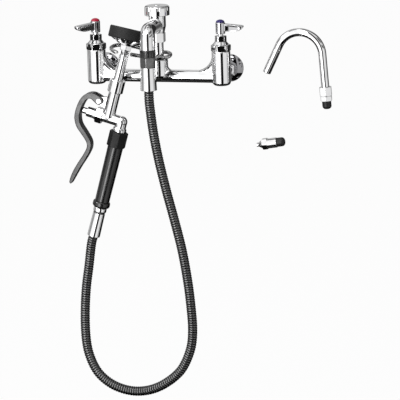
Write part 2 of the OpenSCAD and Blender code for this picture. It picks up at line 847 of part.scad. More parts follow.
module lower_ferrule() {
  at_grip() ferrule(low_ferrule_r, low_ferrule_r - 0.6, low_ferrule_foot, low_ferrule_top,
                    tube_foot - 2.5, 1.8, grip_tube_r);
}

module swivel_nut() color(chrome) at_grip() difference() {
  turned(swivel_nut_r, swivel_foot, swivel_top, low = 4, high = 2);
  post(grip_tube_r + fit, swivel_foot + 2.4, swivel_top + cut);
  post(stem_r + fit, swivel_foot - cut, swivel_top);
}

module swivel_washer() {
  at_grip() joint_washer(grip_tube_r, stem_bore_r + 1, tube_foot - 2.5, tube_foot);
}

module grip_end_ring() color(black) at_grip() difference() {
  turned(end_ring_r, ring_foot, sleeve_foot, low = 3.4, high = 3.4);
  post(grip_tube_r + fit, ring_foot - cut, sleeve_foot + cut);
}

module grip_sleeve() color(black) at_grip() difference() {
  translate([0, 0, sleeve_foot]) cylinder(r1 = grip_foot_r, r2 = grip_r, h = grip_len);
  post(grip_tube_r + fit, sleeve_foot - cut, collar_foot + cut);
}

// Collar with eight flats that locks the grip to the valve
module grip_collar() color(black) at_grip() difference() {
  hex_nut(collar_r, collar_foot, collar_top, sides = 8);
  post(grip_tube_r + fit, collar_foot - cut, collar_top + cut);
}

module grip_tube() color(brass) at_grip() difference() {
  post(grip_tube_r, tube_foot, leg_foot + 8);
  post(grip_tube_r - 1.6, tube_foot - cut, leg_foot + 8 + cut);
}

// ---------------------------------------------------------------- sprayer: valve

module valve_body() color(chrome) at_sprayer() difference() {
  union() {
    along_barrel() post(barrel_r, barrel_left, grip_offset);
    translate([grip_offset, 0, 0]) {
      sphere(elbow_leg_r + 0.2);
      post(elbow_leg_r, leg_foot, 0);
      turned(elbow_skirt_r, leg_foot, leg_foot + elbow_skirt_h, high = 2.5);
    }
    post(sleeve_r, 0, sleeve_len);
    post(sleeve_r - 1.1, sleeve_len - cut, sleeve_len + 11);
    translate([-pin_out, -lug_t / 2, pin_up]) rotate([-90, 0, 0]) cylinder(r = 6, h = lug_t);
    rotate([90, 0, 0]) translate([0, 0, -lug_t / 2]) linear_extrude(lug_t)
      polygon([[-pin_out, pin_up + 5.9], [-4, pin_up + 10], [-4, pin_up - 12], [-pin_out, pin_up - 5.9]]);
  }
  along_barrel() {
    post(barrel_bore_r, barrel_left - cut, seat_near);
    post(barrel_bore_r - 1.8, seat_near - cut, seat_far + cut);
    post(barrel_bore_r, seat_far, chamber_end);
  }
  post(barrel_bore_r - 0.3, 0, sleeve_len + 11 + cut);
  translate([grip_offset, 0, 0]) {
    post(grip_tube_r - 1.6, leg_foot - cut, 0);
    post(grip_tube_r + fit, leg_foot - cut, leg_foot + 8 + fit);
  }
  translate([-pin_out, -lug_t, pin_up]) rotate([-90, 0, 0]) cylinder(r = lever_pin_r + 0.05, h = 2 * lug_t);
}

module valve_bonnet() color(chrome) at_sprayer() along_barrel() difference() {
  union() {
    hex_nut(valve_bonnet_r, bonnet_left, bonnet_right);
    turned(plunger_r + 3, housing_left, bonnet_left + cut, low = 1.2);
    translate([0, 0, bonnet_left - 5]) cylinder(r1 = plunger_r + 3.1, r2 = plunger_r + 4.6, h = 5 + cut);
  }
  post(barrel_r + fit, barrel_left - fit, bonnet_right + cut);
  post(plunger_r + fit, housing_left - cut, gland_far);
  post(valve_stem_r + fit, gland_far - cut, barrel_left);
}

// Plunger and stem that the lever drives towards the seat
module plunger() color(chrome) at_sprayer() along_barrel() {
  turned(plunger_r, plunger_tip, gland_far - plunger_travel - 1, low = 3);
  post(valve_stem_r, gland_far - plunger_travel - 2, seat_far + fit);
}

module seat_washer() color(black) at_sprayer() along_barrel() {
  turned(barrel_bore_r - 0.5, seat_far + fit, seat_far + fit + 2.5, low = 0.4);
}

// Return spring between the seat washer and the end of the chamber
module valve_spring() color(grey) at_sprayer() along_barrel() difference() {
  post(barrel_bore_r - 0.8, seat_far + fit + 2.5, chamber_end);
  post(barrel_bore_r - 2.2, seat_far + fit + 1.5, chamber_end + cut);
}

module lever_pin() color(chrome) at_sprayer() translate([-pin_out, 0, pin_up]) rotate([-90, 0, 0]) {
  post(lever_pin_r, -lever_w / 2 - 0.6, lever_w / 2 + 0.6);
  turned(lever_pin_r + 1.6, -lever_w / 2 - 1.6, -lever_w / 2 - 0.3, low = 0.5);
  turned(lever_pin_r + 1.6, lever_w / 2 + 0.3, lever_w / 2 + 1.6, high = 0.5);
}

// Middle line of the lever and its half thickness, from the pin to the tail: [x, z, half]
lever_line = [
  [6.4, -1.4, 1.4], [5.2, -1.1, 3.6], [3, -0.6, 5.4], [0, 0.2, 6.3], [-6, 2.6, 6],
  [-13, 4.4, 4.9], [-20.5, 1.6, 4.3], [-25.8, -6, 4.1], [-28.6, -17, 4], [-29.4, -28.5, 4],
  [-27.8, -38, 4.1], [-22.8, -47.5, 4.1], [-14.4, -55.4, 4], [-5.4, -63.4, 3.8], [0, -70, 3.7],
  [2, -77.5, 3.6], [0.8, -86, 3.6], [-2.6, -97.6, 3.7], [-6.8, -109.7, 3.8], [-10.2, -121.4, 3.8],
  [-12.6, -132, 3.4], [-13.8, -139.5, 2.6], [-14.1, -142.6, 1.7], [-14.2, -143.6, 0.7]
];

// Side outline of the lever, offset to both sides of its middle line
module lever_side() {
  line = smooth(concat([[7, -1.6, 0]], lever_line, [[-14.3, -144.2, 0]]), 3);
  count = len(line);
  function flat(p) = [p[0], p[1]];
  function along(i) = unit(flat(line[min(count - 1, i + 1)]) - flat(line[max(0, i - 1)]));
  function edge(i, side) = flat(line[i]) + side * line[i][2] * [-along(i)[1], along(i)[0]];
  polygon(concat([for (i = [0 : count - 1]) edge(i, 1)], [for (i = [count - 1 : -1 : 0]) edge(i, -1)]));
}

// Front outline of the lever, narrowing from the slotted head to the tail
module lever_front() {
  tail_w = lever_w * 0.62;
  polygon([[-lever_w / 2, lever_crown], [-lever_w / 2, -lever_shoulder], [-tail_w / 2, -lever_reach],
           [tail_w / 2, -lever_reach], [lever_w / 2, -lever_shoulder], [lever_w / 2, lever_crown]]);
}

// Lever that wraps over the plunger and runs down along the grip
module spray_lever() color(grey) at_sprayer() translate([-pin_out, 0, pin_up]) difference() {
  intersection() {
    rotate([90, 0, 0]) translate([0, 0, -lever_w / 2]) linear_extrude(lever_w) lever_side();
    rotate([90, 0, 90]) translate([0, 0, -lever_depth]) linear_extrude(lever_depth + lever_crown)
      lever_front();
  }
  translate([-slot_depth, -lug_t / 2 - fit, -slot_depth - 0.5])
    cube([lever_crown, lug_t + 2 * fit, lever_crown]);
  rotate([-90, 0, 0]) post(lever_pin_r + fit, -lever_w, lever_w);
}

// ---------------------------------------------------------------- sprayer: wand and head

module union_nut() color(chrome) at_sprayer() difference() {
  turned(union_r, union_foot, union_top, low = 1, high = 2);
  post(sleeve_r - 1.1 + fit, union_foot - cut, wand_flange_top + fit);
  post(wand_r + fit, wand_flange_top, union_top + cut);
}

// Bent end of the wand: a short arc to the wall, then straight into the dish's hub
module wand_bend(rod_r, over, seam) {
  at_sprayer() rotate([0, 0, head_turn]) translate([0, head_bend_r, head_bend_z])
    rotate([0, 0, -90]) rotate([90, 0, 0])
    rotate_extrude(angle = head_lean) translate([head_bend_r, 0]) circle(rod_r);
  at_head() post(rod_r + seam, head_bend_z - cut, wand_end + over);
}

module wand() color(chrome) difference() {
  union() {
    at_sprayer() rotate([0, 0, head_turn]) {
      post(sleeve_r - 1.1, wand_foot, wand_flange_top);
      post(wand_r, wand_flange_top - cut, union_top);
      translate([0, 0, union_top - 0.01])
        cylinder(r1 = wand_r, r2 = wand_top_r, h = head_bend_z - union_top + 0.01);
    }
    wand_bend(wand_top_r, 0, 0.1);
  }
  at_sprayer() rotate([0, 0, head_turn]) post(wand_bore_r, wand_foot - cut, head_bend_z);
  wand_bend(wand_bore_r, cut, -0.1);
}

// Flared dish with a hexagon hub; the rubber bumper grips its rim
module spray_dish() color(chrome) at_head() difference() {
  union() {
    hex_nut(wand_top_r + 2.7, hub_foot, dish_foot + 1);
    translate([0, 0, dish_foot]) cylinder(r1 = wand_top_r + 1.6, r2 = dish_r, h = dish_h);
    post(dish_r, dish_top - 0.01, dish_top + 5);
  }
  post(wand_top_r + fit, hub_foot - cut, wand_end + fit);
  post(wand_bore_r, wand_end, dish_top);
  translate([0, 0, dish_foot + 2.6]) cylinder(r1 = wand_top_r + 0.6, r2 = dish_r - 2, h = dish_h);
  post(dish_r - 2, dish_top + 2.5, dish_top + 6);
}

module spray_face() color(grey) at_head() difference() {
  union() {
    post(dish_r - 2 - fit, dish_top + 2.9, dish_top + 5);
    translate([0, 0, dish_top + 4]) cylinder(r1 = dish_r - 4, r2 = dish_r - 8, h = face_z - dish_top - 4);
  }
  for (turn = [0 : 360 / jet_count : 359])
    rotate([0, 0, turn]) translate([dish_r - 11.5, 0, 0]) post(1.1, dish_top, face_z + cut);
  for (turn = [0 : 60 : 300])
    rotate([0, 0, turn]) translate([8.5, 0, 0]) post(1.1, dish_top, face_z + cut);
  post(2.3, dish_top, face_z + cut);
}

module face_screw() color(chrome) at_head() {
  post(2, dish_top + 3, face_z + 0.5);
  turned(4, face_z, face_z + 1.8, high = 0.8);
}

// Thick rubber ring that hides the dish's rim
module bumper() color(black) at_head() difference() {
  turned(bumper_r, dish_top, bumper_top, low = 2.2, high = 2.2);
  post(dish_r + fit, dish_top - cut, dish_top + 5 + fit);
  post(dish_r - 3.2, dish_top, bumper_top + cut);
  translate([0, 0, bumper_top - 4]) cylinder(r1 = dish_r - 3.2, r2 = dish_r, h = 4 + cut);
}

// ---------------------------------------------------------------- hook

// Bent wire: a bend that grips the riser and an open fork round the wand, its mouth to the front
module hook() {
  function rolled(v, roll) =
    [v[0] * cos(roll) + v[2] * sin(roll), v[1], v[2] * cos(roll) - v[0] * sin(roll)];
  function tipped(r, angle, tip) =
    [r * cos(angle), r * sin(angle) * cos(tip), r * sin(angle) * sin(tip)];
  mouth = [[-30.5, -105.5, 36.8], [-26, -100.6, 35]];
  front = [[-20, -93.5, 32.6], [-12, -82, 28.8], [-4, -72, 26]];
  eye = [for (angle = [270 : 18 : 450]) eye_centre + tipped(eye_r, angle, eye_tip)];
  rear = [[-8, -43.8, 31.5], [-20, -48.5, 34.5], [-30, -57, 39.4]];
  fork = [for (angle = [95 : 15 : 245])
    fork_centre + rolled(tipped(fork_r, angle, fork_tip), fork_roll)];
  bends = concat(mouth, front, eye, rear, fork, [[-52, -109.6, 39.6]]);
  last = len(bends) - 1;
  line = smooth(concat([2 * bends[0] - bends[1]], bends, [2 * bends[last] - bends[last - 1]]), 3);
  count = len(line);
  function heading(i) = unit(line[min(count - 1, i + 1)] - line[max(0, i - 1)]);
  sides = 10;
  // rings turn with the wire, each kept in line with the one before
  frames = [for (i = 0, side = unit(cross(heading(0), [0, 0, 1])); i < count;
                 i = i + 1,
                 side = i < count ? unit(side - (side * heading(i)) * heading(i)) : side)
    [side, cross(heading(i), side)]];
  points = [for (i = [0 : count - 1], k = [0 : sides - 1])
    line[i] + wire_r * (cos(360 * k / sides) * frames[i][0] + sin(360 * k / sides) * frames[i][1])];
  color(chrome) polyhedron(points, concat(
    skin(count, sides),
    [[for (k = [0 : sides - 1]) k]],
    [[for (k = [sides - 1 : -1 : 0]) (count - 1) * sides + k]]
  ), convexity = 8);
}

// ---------------------------------------------------------------- gooseneck and jet nozzle

neck_x = 262;
neck_y = -30;
neck_lean = 4;
neck_down = 55;
neck_rise = 22;
neck_turn = 146;
neck_spout = 58;
neck_nut_len = 7;
neck_adapter_len = 13;
jet_x = 182;
jet_z = -113;

// Places children on the foot of the gooseneck, Z up its straight leg
module at_gooseneck() {
  translate([neck_x, neck_y, -27]) rotate([0, -neck_lean, 0]) children();
}

// Bent tube profile swept down one leg, round the arch and down to the spout
module neck_rod(r, over, seam) {
  post(r, -over, neck_down + neck_rise);
  translate([-arch_r, 0, neck_down + neck_rise]) rotate([90, 0, 0]) {
    rotate_extrude(angle = neck_turn) translate([arch_r, 0]) circle(r);
    rotate([0, 0, neck_turn]) translate([arch_r, 0, 0]) rotate([-90, 0, 0])
      post(r + seam, -cut, neck_spout + over);
  }
}

module gooseneck() color(chrome) at_gooseneck() difference() {
  neck_rod(neck_r, 0, 0.1);
  neck_rod(neck_r - neck_wall, cut, -0.1);
}

module gooseneck_nut() color(chrome) at_gooseneck() difference() {
  hex_nut(neck_nut_r, -neck_nut_len - 3, 4);
  post(neck_r + fit, -cut, 4 + cut);
  post(neck_r + 1.6, -neck_nut_len - 3 - cut, -fit);
}

module gooseneck_adapter() color(chrome) at_gooseneck() difference() {
  union() {
    post(neck_r + 1.3, -neck_adapter_len, -fit);
    hex_nut(neck_nut_r - 0.6, -neck_adapter_len - 5, -neck_nut_len - 3.3);
    post(cap_r - 1.6, -neck_adapter_len - 13, -neck_adapter_len);
  }
  post(neck_r - neck_wall, -neck_adapter_len - 13 - cut, cut);
}

// Places children at the jet nozzle with Z from its cap towards its tip
module at_jet() {
  translate([jet_x, neck_y, jet_z]) rotate([0, -98, 0]) children();
}

module jet_nozzle() color(chrome) at_jet() difference() {
  union() {
    hex_nut(jet_hex_r, 15, 23);
    turned(jet_body_r, 0, 15, low = 0.8);
    translate([0, 0, 23 - cut]) cylinder(r1 = jet_hex_r * 0.8, r2 = 3.2, h = 7 + cut);
    turned(3.2, 29.5, 33, high = 0.8);
    post(cap_r - 1.6, -8, cut);
  }
  post(3.4, -8 - cut, 22);
  post(1.6, 20, 34);
}

// Black caps on the bare threads of both loose fittings
module thread_cap() {
  difference() {
    turned(cap_r, -13, -fit, low = 5);
    post(cap_r - 1.6 + 0.1, -8 - fit, cut);
  }
}

module thread_caps() color(black) {
  at_gooseneck() translate([0, 0, -neck_adapter_len - 5]) thread_cap();
  at_jet() thread_cap();
}

// ---------------------------------------------------------------- assembly

faucet_body();
inlet(-1);  // hot_inlet
inlet(1);  // cold_inlet
coupling_nut(-1);  // hot_coupling_nut
coupling_nut(1);  // cold_coupling_nut
inlet_washer(-1);  // hot_inlet_washer
inlet_washer(1);  // cold_inlet_washer
cartridge(-1);  // hot_cartridge
cartridge(1);  // cold_cartridge
bonnet(-1);  // hot_bonnet
bonnet(1);  // cold_bonnet
packing_nut(-1);  // hot_packing_nut
packing_nut(1);  // cold_packing_nut
spindle(-1);  // hot_spindle
spindle(1);  // cold_spindle
handle(-1, hot_angle);  // hot_handle
handle(1, cold_angle);  // cold_handle
handle_screw(-1);  // hot_handle_screw
handle_screw(1);  // cold_handle_screw
index(-1, [0.75, 0.05, 0.12]);  // hot_index
index(1, [0.13, 0.08, 0.38]);  // cold_index
riser_pipe();
riser_nut();
breaker_body();
breaker_poppet();
breaker_guide();
breaker_hood();
breaker_screw();
outlet_elbow();
hose_adapter();
hose_nut();
hose_washer();
upper_ferrule();
hose();
lower_ferrule();
swivel_nut();
swivel_washer();
grip_end_ring();
grip_sleeve();
grip_collar();
grip_tube();
valve_body();
valve_bonnet();
plunger();
seat_washer();
valve_spring();
lever_pin();
spray_lever();
union_nut();
wand();
spray_dish();
spray_face();
face_screw();
bumper();
hook();
gooseneck();
gooseneck_nut();
gooseneck_adapter();
jet_nozzle();
thread_caps();
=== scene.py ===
"""Looks of a wall-mounted pre-rinse faucet with a ribbed hose and a hand spray valve.

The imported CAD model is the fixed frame. Castings get run-out edges, the hose its rolled ribs,
the hook its drawn wire, the valve its coil spring, and every part its finish. Lengths are in
metres, X to the cold side, Y to the wall, Z up.
"""

import logging
import math
from abc import ABC, abstractmethod
from dataclasses import dataclass
from enum import Enum
from typing import ClassVar

import bmesh
import bpy
from mathutils import Matrix, Vector


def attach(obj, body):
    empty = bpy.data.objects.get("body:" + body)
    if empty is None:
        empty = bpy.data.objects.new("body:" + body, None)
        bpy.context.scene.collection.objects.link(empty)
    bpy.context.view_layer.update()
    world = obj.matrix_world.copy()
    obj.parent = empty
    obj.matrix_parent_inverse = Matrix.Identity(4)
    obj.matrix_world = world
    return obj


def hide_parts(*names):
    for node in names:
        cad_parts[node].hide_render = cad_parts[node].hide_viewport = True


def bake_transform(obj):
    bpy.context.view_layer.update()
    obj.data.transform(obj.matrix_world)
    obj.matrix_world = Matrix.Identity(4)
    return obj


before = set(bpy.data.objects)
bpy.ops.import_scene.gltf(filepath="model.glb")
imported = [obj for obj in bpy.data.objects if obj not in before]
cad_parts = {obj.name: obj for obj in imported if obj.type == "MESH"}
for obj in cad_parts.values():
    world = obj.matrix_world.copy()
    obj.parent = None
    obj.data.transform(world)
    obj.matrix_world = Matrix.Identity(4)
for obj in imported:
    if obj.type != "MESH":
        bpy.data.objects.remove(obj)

LOG = logging.getLogger("faucet")
MM = 0.001
WELD = 0.002 * MM
Colour = tuple[float, float, float, float]
Point = tuple[float, float, float]
Span = tuple[float, float, float]


def grey(level: float) -> Colour:
    """A neutral colour of that linear level."""
    return (level, level, level, 1.0)


class Slot(Enum):
    """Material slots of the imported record."""

    CHROME = "chrome"
    BRASS = "brass"
    SEAL = "seal"
    BLACK_RUBBER = "black_rubber"
    BLACK_CAP = "black_cap"
    GRIP = "grip"
    HOSE_STEEL = "hose_steel"
    WIRE_STEEL = "wire_steel"
    LEVER_GREY = "lever_grey"
    DARK_NICKEL = "dark_nickel"
    SPRAY_PLATE = "spray_plate"
    HOT_RED = "hot_red"
    COLD_INDIGO = "cold_indigo"


class Side(Enum):
    """The two supplies, by the names that their parts begin with."""

    HOT = "hot"
    COLD = "cold"


# ---------------------------------------------------------------- node trees


class Socket:
    """An output socket. Arithmetic on it adds Math nodes to its tree."""

    def __init__(self, tree: "Tree", socket: bpy.types.NodeSocket) -> None:
        """Keeps the socket with the tree that it belongs to.

        Args:
            tree: the tree that holds the socket's node.
            socket: the output socket.
        """
        self.tree = tree
        self.socket = socket

    def __add__(self, other: "Socket | float") -> "Socket":
        """This plus other."""
        return self.tree.math("ADD", self, other)

    def __radd__(self, other: "Socket | float") -> "Socket":
        """Other plus this."""
        return self.tree.math("ADD", other, self)

    def __sub__(self, other: "Socket | float") -> "Socket":
        """This minus other."""
        return self.tree.math("SUBTRACT", self, other)

    def __rsub__(self, other: "Socket | float") -> "Socket":
        """Other minus this."""
        return self.tree.math("SUBTRACT", other, self)

    def __mul__(self, other: "Socket | float") -> "Socket":
        """This times other."""
        return self.tree.math("MULTIPLY", self, other)

    def __rmul__(self, other: "Socket | float") -> "Socket":
        """Other times this."""
        return self.tree.math("MULTIPLY", other, self)

    def __pow__(self, other: "Socket | float") -> "Socket":
        """This to the power other."""
        return self.tree.math("POWER", self, other)

    def smooth(self, low: float, high: float) -> "Socket":
        """A soft step.

        Args:
            low: the value that gives 0.
            high: the value that gives 1.

        Returns:
            0 to 1, with soft ends.
        """
        sockets = {"Value": self, "From Min": low, "From Max": high}
        return self.tree.add("ShaderNodeMapRange", {"interpolation_type": "SMOOTHSTEP"}, sockets)[0]

    def band(self, low: float, high: float, soft: float) -> "Socket":
        """1 between two values and 0 outside them.

        Args:
            low: where the band starts.
            high: where the band ends.
            soft: half the width of its soft edges.

        Returns:
            0 to 1.
        """
        return self.smooth(low - soft, low + soft) * (1 - self.smooth(high - soft, high + soft))


class Made:
    """A node that was added. Its outputs are read by name or place."""

    def __init__(self, tree: "Tree", node: bpy.types.Node) -> None:
        """Keeps the node with its tree."""
        self.tree = tree
        self.node = node

    def __getitem__(self, key: int | str) -> Socket:
        """The output of that name or place."""
        return Socket(self.tree, self.node.outputs[key])


class Tree:
    """A node tree that is built by adding nodes with their settings and sockets."""

    def __init__(self, data: bpy.types.NodeTree) -> None:
        """Starts with an empty tree."""
        self.data = data
        data.nodes.clear()

    def add(self, kind: str, settings: dict | None = None, sockets: dict | None = None) -> Made:
        """Adds one node.

        Args:
            kind: Blender's name of the node type.
            settings: the node's own properties, which are set first.
            sockets: inputs by name or place, each a value, a Socket or a list of Sockets.

        Returns:
            The node.
        """
        node = self.data.nodes.new(kind)
        for name, value in (settings or {}).items():
            setattr(node, name, value)
        for key, value in (sockets or {}).items():
            for one in value if isinstance(value, list) else [value]:
                if isinstance(one, Socket):
                    self.data.links.new(one.socket, node.inputs[key])
                else:
                    node.inputs[key].default_value = one
        return Made(self, node)

    def math(self, operation: str, *operands: Socket | float) -> Socket:
        """One Math node.

        Args:
            operation: Blender's name of the operation.
            operands: sockets or numbers, in the node's order.

        Returns:
            The node's result.
        """
        return self.add("ShaderNodeMath", {"operation": operation}, dict(enumerate(operands)))[0]

    def seen(self) -> Socket:
        """1 for rays from the eye, straight or through glass, and 0 for all others."""
        rays = self.add("ShaderNodeLightPath")
        return self.math("MAXIMUM", rays["Is Camera Ray"], rays["Is Transmission Ray"])


@dataclass(frozen=True)
class Pattern:
    """Fractal noise in grains per metre, and the values that its patches fade in between."""

    scale: float
    octaves: float = 2.0
    low: float = 0.35
    high: float = 0.75


class Surface(Tree):
    """A material's tree, with the steps that the finishes share."""

    SAMPLES = 6
    EDGE_RANGE = (0.01, 0.25)
    OPEN_RANGE = (0.15, 0.8)

    def __init__(self, name: str) -> None:
        """Makes the material.

        Args:
            name: the material's name.
        """
        self.material = bpy.data.materials.new(name)
        self.material.use_nodes = True
        super().__init__(self.material.node_tree)

    def place(self, scale: Point = (1.0, 1.0, 1.0)) -> Socket:
        """Object coordinates.

        Args:
            scale: how much each axis is stretched.

        Returns:
            The coordinates.
        """
        here = self.add("ShaderNodeTexCoord")["Object"]
        return self.add("ShaderNodeMapping", None, {"Vector": here, "Scale": scale})[0]

    def noise(self, where: Socket, pattern: Pattern) -> Socket:
        """Fractal noise.

        Args:
            where: the coordinates.
            pattern: its grain.

        Returns:
            The noise, from 0 to 1.
        """
        sockets = {"Vector": where, "Scale": pattern.scale, "Detail": pattern.octaves}
        return self.add("ShaderNodeTexNoise", None, sockets)[0]

    def patches(self, where: Socket, pattern: Pattern) -> Socket:
        """Soft patches of noise.

        Args:
            where: the coordinates.
            pattern: their grain and reach.

        Returns:
            1 in a patch and 0 between patches.
        """
        return self.noise(where, pattern).smooth(pattern.low, pattern.high)

    def blend(self, factor: Socket | float, a: Socket | Colour, b: Socket | Colour) -> Socket:
        """A colour between two.

        Args:
            factor: 0 for the first and 1 for the second.
            a: the first colour.
            b: the second colour.

        Returns:
            The colour.
        """
        return self.add("ShaderNodeMix", {"data_type": "RGBA"}, {0: factor, 6: a, 7: b})[2]

    def rounded(self, radius: float) -> Socket:
        """The normal with edges rounded to a radius."""
        return self.add("ShaderNodeBevel", {"samples": self.SAMPLES}, {"Radius": radius})[0]

    def edge(self, radius: float) -> Socket:
        """Where the surface turns an edge.

        Args:
            radius: how far from the edge the mask reaches.

        Returns:
            1 on edges and 0 on open faces.
        """
        flat = self.add("ShaderNodeNewGeometry")["Normal"]
        sockets = {0: self.rounded(radius), 1: flat}
        straight = self.add("ShaderNodeVectorMath", {"operation": "DOT_PRODUCT"}, sockets)["Value"]
        return (1 - straight).smooth(*self.EDGE_RANGE)

    def crevice(self, reach: float) -> Socket:
        """Where the surface lies in a crevice.

        Args:
            reach: how near the next surface has to be.

        Returns:
            1 in crevices and 0 in the open.
        """
        settings, sockets = {"samples": self.SAMPLES}, {"Distance": reach}
        open_sky = self.add("ShaderNodeAmbientOcclusion", settings, sockets)["AO"]
        return 1 - open_sky.smooth(*self.OPEN_RANGE)

    def bump(self, height: Socket, strength: float, depth: float, normal: Socket) -> Socket:
        """A normal with relief.

        Args:
            height: the relief, 0 to 1.
            strength: how much of it shows.
            depth: the height that 1 stands for.
            normal: the normal under it.

        Returns:
            The normal.
        """
        sockets = {"Height": height, "Strength": strength, "Distance": depth, "Normal": normal}
        return self.add("ShaderNodeBump", None, sockets)[0]

    def finish(self, **sockets: Socket | float | Colour) -> bpy.types.Material:
        """Closes the tree with a Principled surface.

        Args:
            sockets: its inputs, with underscores for spaces.

        Returns:
            The material.
        """
        named = {name.replace("_", " "): value for name, value in sockets.items()}
        shader = self.add("ShaderNodeBsdfPrincipled", None, named)[0]
        self.add("ShaderNodeOutputMaterial", None, {"Surface": shader})
        return self.material


# ---------------------------------------------------------------- finishes


class Finish(ABC):
    """A surface finish that makes its material once."""

    made: dict[str, bpy.types.Material] = {}
    name: str
    slot: Slot

    @abstractmethod
    def make(self) -> bpy.types.Material:
        """The finish's new material."""

    def material(self) -> bpy.types.Material:
        """The finish's material, made on first use.

        Returns:
            The material.
        """
        if self.name not in Finish.made:
            Finish.made[self.name] = self.make()
        return Finish.made[self.name]


@dataclass(frozen=True)
class Chrome(Finish):
    """Bright plate on brass, a little wavy where the brass was cast."""

    name: str = "chrome_turned"
    slot: Slot = Slot.CHROME
    tint: Colour = (0.945, 0.945, 0.95, 1.0)
    roughness: float = 0.03
    edge_radius: float = 0.35 * MM
    waviness: float = 0.03
    waves: Pattern = Pattern(110.0, 1.0)
    wave_height: float = 0.5 * MM
    film: Pattern = Pattern(45.0, 4.0, 0.45)
    film_shade: float = 0.9
    film_roughness: float = 0.03
    # painted shade: the dark colour that crevices are painted, where shade falls
    crevice_shade: Colour = grey(0.03)
    crevice_shade_reach: float = 1.6 * MM
    dirt_roughness: float = 0.25

    def make(self) -> bpy.types.Material:
        """Plate with a thin film of drops dried on it and painted shade in its crevices.

        Returns:
            The material.
        """
        tree = Surface(self.name)
        here = tree.place()
        film = tree.patches(here, self.film)
        # painted shade: an occlusion mask darkens the plate in its crevices
        crevice_shade = tree.crevice(self.crevice_shade_reach)
        filmed = tuple(self.film_shade * c for c in self.tint[:3]) + (1.0,)
        waves = tree.noise(here, self.waves)
        return tree.finish(
            Base_Color=tree.blend(crevice_shade, tree.blend(film, self.tint, filmed), self.crevice_shade),
            Metallic=1.0,
            Roughness=self.roughness + self.film_roughness * film + self.dirt_roughness * crevice_shade,
            Normal=tree.bump(waves, self.waviness, self.wave_height, tree.rounded(self.edge_radius)),
        )


@dataclass(frozen=True)
class Metal(Finish):
    """Bare or thinly plated metal with fine lines from drawing, turning or brushing."""

    name: str
    slot: Slot
    tint: Colour
    dull: Colour
    roughness: float = 0.25
    grain: Point = (60.0, 60.0, 1800.0)
    edge_radius: float = 0.25 * MM
    lines: Pattern = Pattern(1.0)
    line_strength: float = 0.15
    line_height: float = 0.1 * MM
    line_roughness: float = 0.12
    film: Pattern = Pattern(120.0, 3.0)
    film_share: float = 0.6
    film_roughness: float = 0.1
    # painted highlight: how far from an edge its colour is brought back to the bright tint
    highlight_edge_radius: float = 0.4 * MM
    highlight_edge_share: float = 0.5
    # painted shade: the dark colour that crevices are painted
    crevice_shade: Colour = grey(0.01)
    crevice_shade_reach: float = 1.4 * MM

    def make(self) -> bpy.types.Material:
        """Lines along the grain, a dull film in patches, a painted highlight on the edges and painted shade
        in crevices.

        Returns:
            The material.
        """
        tree = Surface(self.name)
        lines = tree.noise(tree.place(self.grain), self.lines)
        film = tree.patches(tree.place(), self.film)
        colour = tree.blend(film * self.film_share, self.tint, self.dull)
        # painted highlight: edges painted the bright tint
        colour = tree.blend(tree.edge(self.highlight_edge_radius) * self.highlight_edge_share, colour, self.tint)
        # painted shade: crevices darkened by an occlusion mask
        colour = tree.blend(tree.crevice(self.crevice_shade_reach), colour, self.crevice_shade)
        smooth = tree.rounded(self.edge_radius)
        return tree.finish(
            Base_Color=colour,
            Metallic=1.0,
            Roughness=self.roughness + self.line_roughness * lines + self.film_roughness * film,
            Normal=tree.bump(lines, self.line_strength, self.line_height, smooth),
        )


@dataclass(frozen=True)
class Moulding(Finish):
    """Moulded rubber or plastic with a pebbled skin, painted lighter on its edges as a highlight."""

    name: str
    slot: Slot
    tint: Colour
    # painted highlight on the edges, and the paler tone of the cloudy patches
    highlight_and_cloud_tone: Colour
    roughness: float = 0.45
    pebble: float = 1400.0
    relief: float = 0.25
    gloss: float = 0.5
    edge_radius: float = 0.5 * MM
    pebble_octaves: float = 3.0
    pebble_height: float = 0.12 * MM
    pebble_roughness: float = 0.08
    cloud: Pattern = Pattern(60.0, 3.0, high=0.7)
    cloud_share: float = 0.2
    cloud_roughness: float = 0.12
    # painted highlight: how far the paler edge reaches and how strong it is
    moulding_highlight_width: float = 0.7 * MM
    moulding_highlight_share: float = 0.7
    # painted shade: the dark colour that hollows are painted
    hollow_shade: Colour = grey(0.004)
    hollow_shade_reach: float = 1.5 * MM
    hollow_shade_share: float = 0.6

    def make(self) -> bpy.types.Material:
        """Pebbles, cloudy colour, painted shade in the hollows and a painted highlight on the edges.

        Returns:
            The material.
        """
        tree = Surface(self.name)
        here = tree.place()
        pebbles = tree.noise(here, Pattern(self.pebble, self.pebble_octaves))
        cloud = tree.patches(here, self.cloud)
        # painted highlight on the edges, with cloudy patches of paler tone
        highlight_and_cloud = tree.edge(self.moulding_highlight_width) * self.moulding_highlight_share + self.cloud_share * cloud
        colour = tree.blend(highlight_and_cloud, self.tint, self.highlight_and_cloud_tone)
        # painted shade: hollows darkened by an occlusion mask
        colour = tree.blend(tree.crevice(self.hollow_shade_reach) * self.hollow_shade_share, colour, self.hollow_shade)
        return tree.finish(
            Base_Color=colour,
            Roughness=self.roughness + self.cloud_roughness * cloud + self.pebble_roughness * pebbles,
            Specular_IOR_Level=self.gloss,
            Normal=tree.bump(pebbles, self.relief, self.pebble_height, tree.rounded(self.edge_radius)),
        )


@dataclass(frozen=True)
class Enamel(Finish):
    """Clear glossy plastic of the temperature buttons."""

    name: str
    slot: Slot
    tint: Colour
    deep: Colour
    roughness: float = 0.12
    edge_radius: float = 0.4 * MM
    skin: float = 0.6
    cloud: Pattern = Pattern(260.0)
    scuffs: Pattern = Pattern(1500.0, 3.0, 0.55, 0.8)
    scuff_roughness: float = 0.25

    def make(self) -> bpy.types.Material:
        """A coloured body under a clear skin with faint scuffs.

        Returns:
            The material.
        """
        tree = Surface(self.name)
        here = tree.place()
        return tree.finish(
            Base_Color=tree.blend(tree.noise(here, self.cloud), self.tint, self.deep),
            Roughness=self.roughness + self.scuff_roughness * tree.patches(here, self.scuffs),
            Normal=tree.rounded(self.edge_radius),
            Coat_Weight=self.skin,
        )


